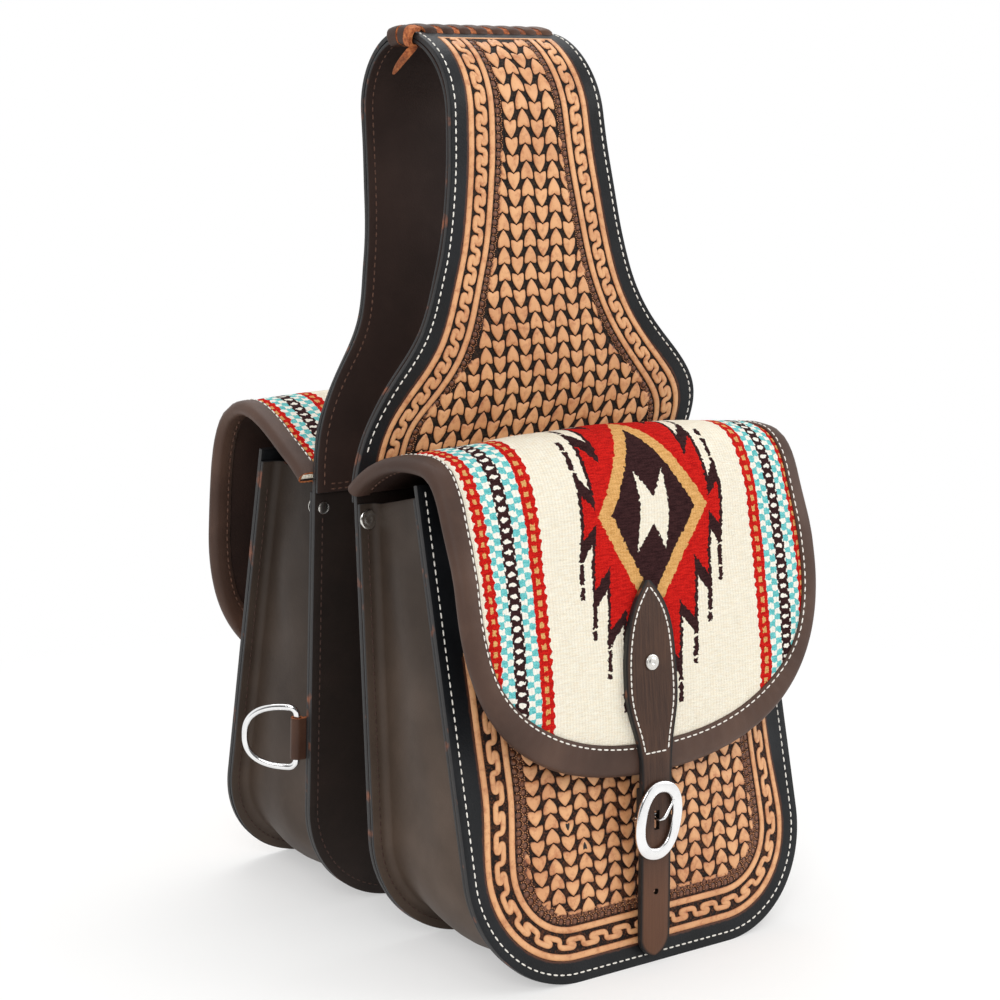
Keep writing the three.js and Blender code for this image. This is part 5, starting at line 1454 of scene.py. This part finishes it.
def makeBuckle(side):
    put = places[side]["world"]
    turn = turns[side]
    wide, high = (buckle["wide"] - buckle["rim"]) / 2, (buckle["high"] - buckle["rim"]) / 2
    deselect()
    hoop = 10
    bpy.ops.mesh.primitive_torus_add(major_segments=72, minor_segments=20, major_radius=hoop, minor_radius=1)
    rim = bpy.context.object
    points = np.array([v.co for v in rim.data.vertices])
    angle = np.arctan2(points[:, 1], points[:, 0])
    spin = np.arctan2(points[:, 2], np.hypot(points[:, 0], points[:, 1]) - hoop)
    flatten = lambda v, power=0.7: np.sign(v) * np.abs(v) ** power
    overX, overZ = flatten(np.cos(angle), buckle["square"]), flatten(np.sin(angle), buckle["square"])
    outward = np.stack([overX / wide, overZ / high], -1)
    outward /= np.linalg.norm(outward, axis=1)[:, None]
    across, up = flatten(np.cos(spin)) * buckle["rim"] / 2, flatten(np.sin(spin)) * buckle["thick"] / 2
    flatX = wide * overX + outward[:, 0] * across
    flatZ = high * overZ + outward[:, 1] * across
    tilt = math.radians(buckle["tilt"])
    x = strap["shift"] + flatX * math.cos(tilt) + flatZ * math.sin(tilt)
    z = buckle["height"] + flatZ * math.cos(tilt) - flatX * math.sin(tilt)
    rim.data.vertices.foreach_set("co", (put(x, rimU + up, z) * mm).astype(np.float32).reshape(-1))
    rim.name = rim.data.name = side + "_buckle_rim"
    shift, height = turn * strap["shift"], buckle["height"]
    parts = [addRod(buckle["bar"], buckle["barShare"] * wide, (shift, -turn * barU, height), sideways)]
    for sign in (-1, 1):
        at = (sign * buckle["postAt"] * wide + shift, -turn * (rimU + barU - buckle["postBack"]) / 2, height)
        parts.append(addRod(buckle["post"], rimU - barU + buckle["postOver"], at, outwards))
    for part in parts:
        pick(part)
        bpy.ops.object.transform_apply(location=True, rotation=True, scale=True)
    pick(rim)
    for part in parts:
        part.select_set(True)
    bpy.ops.object.join()
    faceOutward(rim)
    roundEdges(rim, 0.5, 3, 60)
    rim.data.materials.clear()
    dress(rim, chrome)
    smooth(rim, crisp)

    # tongue: a rounded bar swept in side view, from its eye out through the strap and up to the rim
    out = rimU + buckle["thick"] / 2 + bag["fit"] - barU
    thick = 2 * buckle["eye"]
    reach = buckle["high"] / 2 - buckle["rim"] * buckle["rimShare"]
    eye = buckle["bar"] + bag["fit"] + buckle["eye"] / 2
    spine = arcPoints(0, 0, eye, math.pi * 0.9, 2 * math.pi, 14)
    spine += [(eye + 1.5, 0.4), (out * 0.6, 0.3), (out - 0.6, 0.5), (out + thick * 0.4, 1.4),
              (out + thick * 0.62, 3.2), (out + thick * 0.5, reach * 0.5), (out + thick * 0.42, reach * 0.85),
              (out + thick * 0.36, reach)]
    line = makeLine(np.array(spine))
    length = line["length"]
    stops = np.linspace(0, length, 46)
    point, heading = onLine(line, stops)
    normal = leftOf(heading)
    wideAt = buckle["tongue"] * (1 - buckle["narrowing"] * softStep(length - buckle["taper"], length, stops))
    thickAt = np.where(stops < buckle["eyeLength"], buckle["eye"], thick * buckle["slim"])
    thickAt = thickAt * np.where(stops > length - buckle["tip"], buckle["tipShare"], 1)
    around = np.linspace(0, 2 * math.pi, 13)
    cosRing, sinRing = flatten(np.cos(around)), flatten(np.sin(around))
    skew = buckle["skew"] * np.clip(point[:, 1:] / reach, 0, 1)
    x = wideAt[:, None] / 2 * cosRing[None] + skew + strap["shift"]
    u = barU + point[:, :1] + normal[:, :1] * thickAt[:, None] / 2 * sinRing[None]
    z = buckle["height"] + point[:, 1:] + normal[:, 1:] * thickAt[:, None] / 2 * sinRing[None]
    tongue = gridPiece(side + "_tongue", put(x, u, z))
    closeTube(tongue)
    dress(tongue, chrome)
    smooth(tongue)

    # chape: a strip folded round the bar in two bands beside the tongue, its tail joined
    radius = buckle["bar"] + bag["fit"] + buckle["leather"] / 2
    gap = buckle["tongue"] / 2 + buckle["gap"]
    tail, length = buckle["leather"] / 2, buckle["chapeLength"]
    fold = arcPoints(0, 0, radius, 0.75 * math.pi, 2.25 * math.pi, 24)
    ends = [length, *buckle["foldEnd"]]
    fold = [(-tail, z) for z in ends] + fold + [(tail, z) for z in ends[::-1]]
    spine = makeLine(np.array(fold))
    point = onLine(spine, np.linspace(0, spine["length"], 60))[0]
    half, band = buckle["chape"] / 2, buckle["band"]
    x = np.array([-half, -band, -gap, gap, band, half])[None] + strap["shift"] + 0 * point[:, :1]
    chape = gridPiece(side + "_chape", put(x, barU + point[:, :1] + 0 * x, height + point[:, 1:] + 0 * x),
                      np.stack([x, point[:, 1:] + 0 * x], -1), np.stack([9 + 0 * x, 0 * x], -1))

    def inSlot(face):  # the slot that the tongue turns in
        across, z = face.center.x, face.center.z
        return abs(abs(across) - abs(shift) * mm) < 1 * mm and z < (height + buckle["slot"]) * mm
    editFaces(chape, inSlot, lambda: bpy.ops.mesh.delete(type="FACE"))
    finishSheet(chape, (strapLeather, dyedEdge), buckle["leather"] - foldSlack, buckle["chapeRounding"], 0.0)

    rideAll(side + "_flap", rim, chape)
    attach(tongue, side + "_tongue")
    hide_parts(side + "_buckle_frame")
    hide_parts(side + "_buckle_tongue")
    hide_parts(side + "_buckle_chape")

for side in sides:
    makeBuckle(side)

def insetStep(wide, depth):
    return lambda: bpy.ops.mesh.inset(thickness=wide * mm, depth=depth * mm, use_individual=True)

def makeSnaps(side):
    turn = turns[side]
    height = buckle["height"] + buckle["chapeLength"] - buckle["snap"]
    seat = frontFace(0, height - buckle["snap"]) + bag["fit"]
    meet = seat + buckle["stud"]
    back = barU - buckle["leather"] - bag["fit"]
    sunkRings = [insetStep(*step) for step in buckle["snapRings"]]
    for name, body, low, high in (("snap_stud", "bags", seat, meet),
                                  ("snap_socket", side + "_flap", meet + bag["fit"], back)):
        disc = addRod(buckle["snap"], high - low, (0, -turn * (low + high) / 2, height), outwards, 32)
        disc.name = disc.data.name = side + "_" + name + "_disc"
        bpy.ops.object.transform_apply(location=True, rotation=True, scale=True)
        editFaces(disc, lambda face: len(face.vertices) > 8, *sunkRings)
        roundEdges(disc, 0.25, 2, 40)
        dress(disc, nickel)
        smooth(disc, crisp)
        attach(disc, body)
        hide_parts(side + "_" + name)

for side in sides:
    makeSnaps(side)
print("buckles made")


# D-rings in folded tabs
ring = {"height": 111, "wire": 2.0, "flat": 0.75, "wide": 38, "reach": 32, "bend": 5, "square": 0.8,
        "swing": 42, "tabLeather": 1.6, "tabHigh": 26, "tabRounding": 0.3}

def makeRing(side):
    eye = ring["wire"] + bag["fit"] + ring["tabLeather"]
    flange = backOuter(ring["height"]) + bag["fit"] + bag["web"]
    tilt = -math.atan(bag["lean"])
    origin = np.array([halfBag + eye, -(flange + bag["fit"] + eye), ring["height"]])
    lay = np.array(Matrix.Rotation(tilt, 3, "X"))
    turn = turns[side]
    def toWorld(points):
        placed = points @ lay.T + origin
        return placed * [turn, turn, 1]
    half, bend = ring["wide"] / 2, ring["bend"]
    squared = lambda v: math.copysign(abs(v) ** ring["square"], v)
    path = [(0, z) for z in np.linspace(bend - half, half - bend, 12)]
    path += arcPoints(bend, half - bend, bend, math.pi, math.pi / 2, 9)[1:]
    bow = arcPoints(0, 0, 1, math.pi / 2, -math.pi / 2, 40)[1:]  # a squared-off bow
    path += [(bend + (ring["reach"] - bend) * squared(x), half * squared(z)) for x, z in bow[:-1]]
    path += [(bend, -half)]
    path += arcPoints(bend, bend - half, bend, -math.pi / 2, -math.pi, 9)[1:]
    path = np.array(path)
    ahead = np.roll(path[:-1], -1, 0) - np.roll(path[:-1], 1, 0)
    ahead /= np.linalg.norm(ahead, axis=1)[:, None]
    left = leftOf(np.vstack([ahead, ahead[:1]]))
    around = np.linspace(0, 2 * math.pi, 17)
    rows = np.stack([path[:, :1] + left[:, :1] * ring["wire"] * np.cos(around)[None],
                     ring["flat"] * ring["wire"] * np.sin(around)[None] + 0 * path[:, :1],
                     path[:, 1:] + left[:, 1:] * ring["wire"] * np.cos(around)[None]], -1)
    swing = np.array(Matrix.Rotation(-math.radians(ring["swing"]), 3, "Z"))
    hoop = gridPiece(side + "_ring_wire", toWorld(rows @ swing.T))
    closeTube(hoop, False)
    dress(hoop, chrome)
    smooth(hoop, 60)

    # tab: a strip folded round the ring's straight side and sewn down on the flange
    mid = eye - ring["tabLeather"] / 2
    tail = 2 * bag["fit"] - eye - bag["flange"]
    under = mid - ring["tabLeather"]
    upper = [(tail, mid), (tail * 0.6, mid), (tail * 0.3, mid)]
    lower = [(tail * 0.45, under), (tail * 0.7, under), (tail, under)]
    turnUnder = arcPoints(0, 0, mid, 0.5 * math.pi, -1.2 * math.pi, 34)
    spine = makeLine(np.array(upper + turnUnder + lower))
    point = onLine(spine, np.linspace(0, spine["length"], 60))[0]
    z = np.linspace(-ring["tabHigh"] / 2, ring["tabHigh"] / 2, 14)
    grid = np.stack([point[:, :1] + 0 * z[None], point[:, 1:] + 0 * z[None], z[None] + 0 * point[:, :1]], -1)
    tab = gridPiece(side + "_ring_tab", toWorld(grid))
    skins = (leathers["lace_leather"], rawEdge)
    finishSheet(tab, skins, ring["tabLeather"] - foldSlack, ring["tabRounding"], 0.0)
    rideAll("bags", tab)
    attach(hoop, side + "_ring")
    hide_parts(side + "_d_ring")
    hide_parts(side + "_d_ring_tab")

for side in sides:
    makeRing(side)
print("rings hung")


# lace over the ridge: slanted wraps, raw edges between them, and a loop round one end with a hanging tail
lace = {"wraps": 8, "wide": 7.8, "rawWide": 4.8, "rawDrop": 1.3, "rawShift": 0.62, "thick": 2.6,
        "inset": 10.5, "endGap": 4.0, "slant": 0.4, "crown": (0, 0.6, 0.8, 0.6, 0), "loopReach": 3.5,
        "loops": [("back", 10.0, 0.6, 0.0), ("front", 7.0, 0.6, 0.0), ("front", 13.5, 7.2, 0.5)],
        "tailAt": 10.0, "tailWide": 6.0, "tailWay": [(0, 0, 0), (-3, 3, -5), (-7, 6, -11), (-10, 8, -17)],
        "tailShares": (1.0, 1.0, 0.9, 0.35), "tailFlat": (0.81, -0.58, 0.0)}
laceOver = yokeFace + bag["fit"] + lace["thick"] / 2
laceUnder = -bag["fit"] / 2 - bag["lining"] - bag["fit"] - lace["thick"] / 2

def finishLace(piece, finish):
    applyModifier(piece, "SUBSURF", levels=1, render_levels=1)
    finishSheet(piece, (finish, rawEdge), lace["thick"], 0.3, 0.0)
    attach(piece, "bags")
    return piece

def laceStrand(name, shift, drop, wide, finish):
    plan = lace
    pitch = (yoke["topWidth"] - 2 * plan["endGap"] - plan["wide"]) / (plan["wraps"] - 0.5)
    start = -yoke["topWidth"] / 2 + plan["endGap"] + plan["wide"] / 2 + shift * pitch
    over, under = yoke["radius"] + laceOver - drop, yoke["radius"] + laceUnder
    turn = plan["inset"] / yoke["radius"]
    top = bag["seam"] + yoke["rise"]
    lean = yokeLean(yokeLength - plan["inset"])
    stops = []
    middle = (under + over) / 2
    for wrap in range(plan["wraps"] - int(shift > 0)):
        far = start + wrap * pitch
        near = far + plan["slant"] * pitch
        stops += [(-turn, under, near), (-turn * 1.02, middle, near), (-turn, over - 0.2, near),
                  (-turn * 0.55, over + 0.35, near + (far - near) * 0.22), (0, over + 0.5, (near + far) / 2),
                  (turn * 0.55, over + 0.35, near + (far - near) * 0.78), (turn, over - 0.2, far),
                  (turn * 1.02, middle, far), (turn, under, far), (0, under - 0.3, far + pitch / 2)]
    angle, radius, x = np.array(stops).T
    path = np.stack([x + lean, radius * np.sin(angle), top + radius * np.cos(angle)], -1)
    ahead = np.gradient(path[:, 1:], axis=0)
    ahead /= np.maximum(1e-6, np.linalg.norm(ahead, axis=1))[:, None]
    normal = leftOf(ahead)
    x = path[:, :1] + wide / 2 * np.linspace(-1, 1, 5)[None]
    crown = np.array(plan["crown"])[None]
    y = path[:, 1:2] + normal[:, :1] * crown
    z = path[:, 2:] + normal[:, 1:] * crown
    return finishLace(gridPiece(name, np.stack([x, y, z], -1)), finish)

def laceLoop(name, side, first, last, lift, finish):
    half = yokeHalf(yokeLength) * (-1 if side == "front" else 1)
    middle, reach = (laceOver + laceUnder) / 2, lace["loopReach"]
    section = [(reach, laceOver), (reach * 0.4, laceOver + 0.2), (-0.6, laceOver - 0.3),
               (-1.9, laceOver - 1.6), (-2.3, middle), (-1.9, laceUnder + 1.6), (-0.6, laceUnder + 0.3),
               (reach * 0.4, laceUnder - 0.2), (reach, laceUnder)]
    inset, n = np.array(section).T[:, :, None]
    s = yokeLength - np.linspace(first, last, 5)[None] + 0 * inset
    x = half - math.copysign(1, half) * (inset - lift * (inset < 0))
    n = n + lift * np.sign(n - middle) + 0 * s
    return finishLace(gridPiece(name, places[side]["yoke"](x + 0 * s, s, n)), finish)

def makeLace():
    main = laceStrand("ridge_lacing", 0.0, 0.0, lace["wide"], leathers["lace_leather"])
    laceStrand("ridge_lacing_raw", lace["rawShift"], lace["rawDrop"], lace["rawWide"], rawEdge)
    for index, loop in enumerate(lace["loops"]):
        laceLoop("ridge_loop_%d" % index, *loop, rawEdge if loop[-1] else leathers["lace_leather"])
    half = -yokeHalf(yokeLength) + lace["loopReach"]
    root = places["front"]["yoke"](np.array(half), np.array(yokeLength - lace["tailAt"]), np.array(laceUnder))
    way = root + np.array(lace["tailWay"], float)
    wide = lace["tailWide"] * np.array(lace["tailShares"])[:, None, None]
    across = np.linspace(-0.5, 0.5, 3)[None, :, None] * np.array(lace["tailFlat"])
    finishLace(gridPiece("ridge_lacing_tail", way[:, None] + wide * across), rawEdge)
    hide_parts("ridge_lace")

makeLace()
print("lace laid")


# pale floor that runs out to white, soft lamps
studio = {"floor": "#fbfaf8", "floorSize": 8.0, "floorFade": (0.45, 1.0, 0.2, 0.75), "world": 0.75,
          "darkSide": (-0.57, -0.8, 0.18), "darkFade": (0.0, 0.9, 0.62, 0.85), "aim": (0, 0, 0.25),
          "lamps": [("key_lamp", (-1.6, -1.9, 1.7), 1.2, 26.0), ("fill_lamp", (1.7, -1.5, 1.1), 1.4, 12.0),
                    ("top_lamp", (0.3, 0.6, 2.2), 1.6, 16.0)]}

# rays that show the surroundings, straight, mirrored or let through; the others only light the bags
def plainRays(tree):
    seen = addNode(tree, "LightPath").outputs
    mirrored = seen["Is Glossy Ray"]
    either = calc(tree, "MAXIMUM", seen["Is Camera Ray"], mirrored)
    return calc(tree, "MAXIMUM", either, seen["Is Transmission Ray"]), mirrored

def setStudio():
    deselect()
    bpy.ops.mesh.primitive_grid_add(x_subdivisions=8, y_subdivisions=8, size=studio["floorSize"])
    floor = bpy.context.object
    floor.name = "studio_floor"
    made, tree, shader, where = newFinish("studio_floor", 0.9)
    shader.inputs["Base Color"].default_value = colour(studio["floor"])
    plain, mirrored = plainRays(tree)
    reach = addNode(tree, "VectorMath", {"operation": "LENGTH"}, {0: where}).outputs["Value"]
    share = calc(tree, "MULTIPLY", spread(tree, reach, *studio["floorFade"]), plain)
    glow = addNode(tree, "Emission", {}, {"Color": (1, 1, 1, 1), "Strength": 1.0})
    mix = addNode(tree, "MixShader", {}, {0: share, 1: shader.outputs[0], 2: glow.outputs[0]})
    tree.links.new(mix.outputs[0], tree.nodes["Material Output"].inputs["Surface"])
    dress(floor, made)
    floor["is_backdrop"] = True

    world = bpy.context.scene.world or bpy.data.worlds.new("studio")
    bpy.context.scene.world = world
    world.use_nodes = True
    tree = world.node_tree
    tree.nodes.clear()
    plain, mirrored = plainRays(tree)
    light = addNode(tree, "Background", {}, {"Color": (1, 1, 1, 1), "Strength": studio["world"]})
    toward = addNode(tree, "TexCoord").outputs["Object"]
    facing = addNode(tree, "VectorMath", {"operation": "DOT_PRODUCT"}, {0: toward, 1: studio["darkSide"]})
    room = calc(tree, "MULTIPLY", spread(tree, facing.outputs["Value"], *studio["darkFade"]), mirrored)
    bright = calc(tree, "SUBTRACT", 1.0, room)
    white = addNode(tree, "Background", {}, {"Color": (1, 1, 1, 1), "Strength": bright})
    mix = addNode(tree, "MixShader", {}, {0: plain, 1: light.outputs[0], 2: white.outputs[0]})
    output = addNode(tree, "OutputWorld")
    tree.links.new(mix.outputs[0], output.inputs["Surface"])

    for name, place, size, power in studio["lamps"]:
        aim = Vector(studio["aim"]) - Vector(place)
        turned = aim.to_track_quat("-Z", "Y").to_euler()
        bpy.ops.object.light_add(type="AREA", location=place, rotation=turned)
        lamp = bpy.context.object
        lamp.name = name
        lamp.data.shape = "DISK"
        lamp.data.size = size
        lamp.data.energy = power

setStudio()
bpy.context.scene.view_settings.view_transform = "Standard"

asLists = lambda box: [list(map(float, corner)) for corner in box]
sizeNote = {"cad": asLists(cadBox), "visual": asLists(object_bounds())}
print("studio set, bounds", sizeNote["visual"])
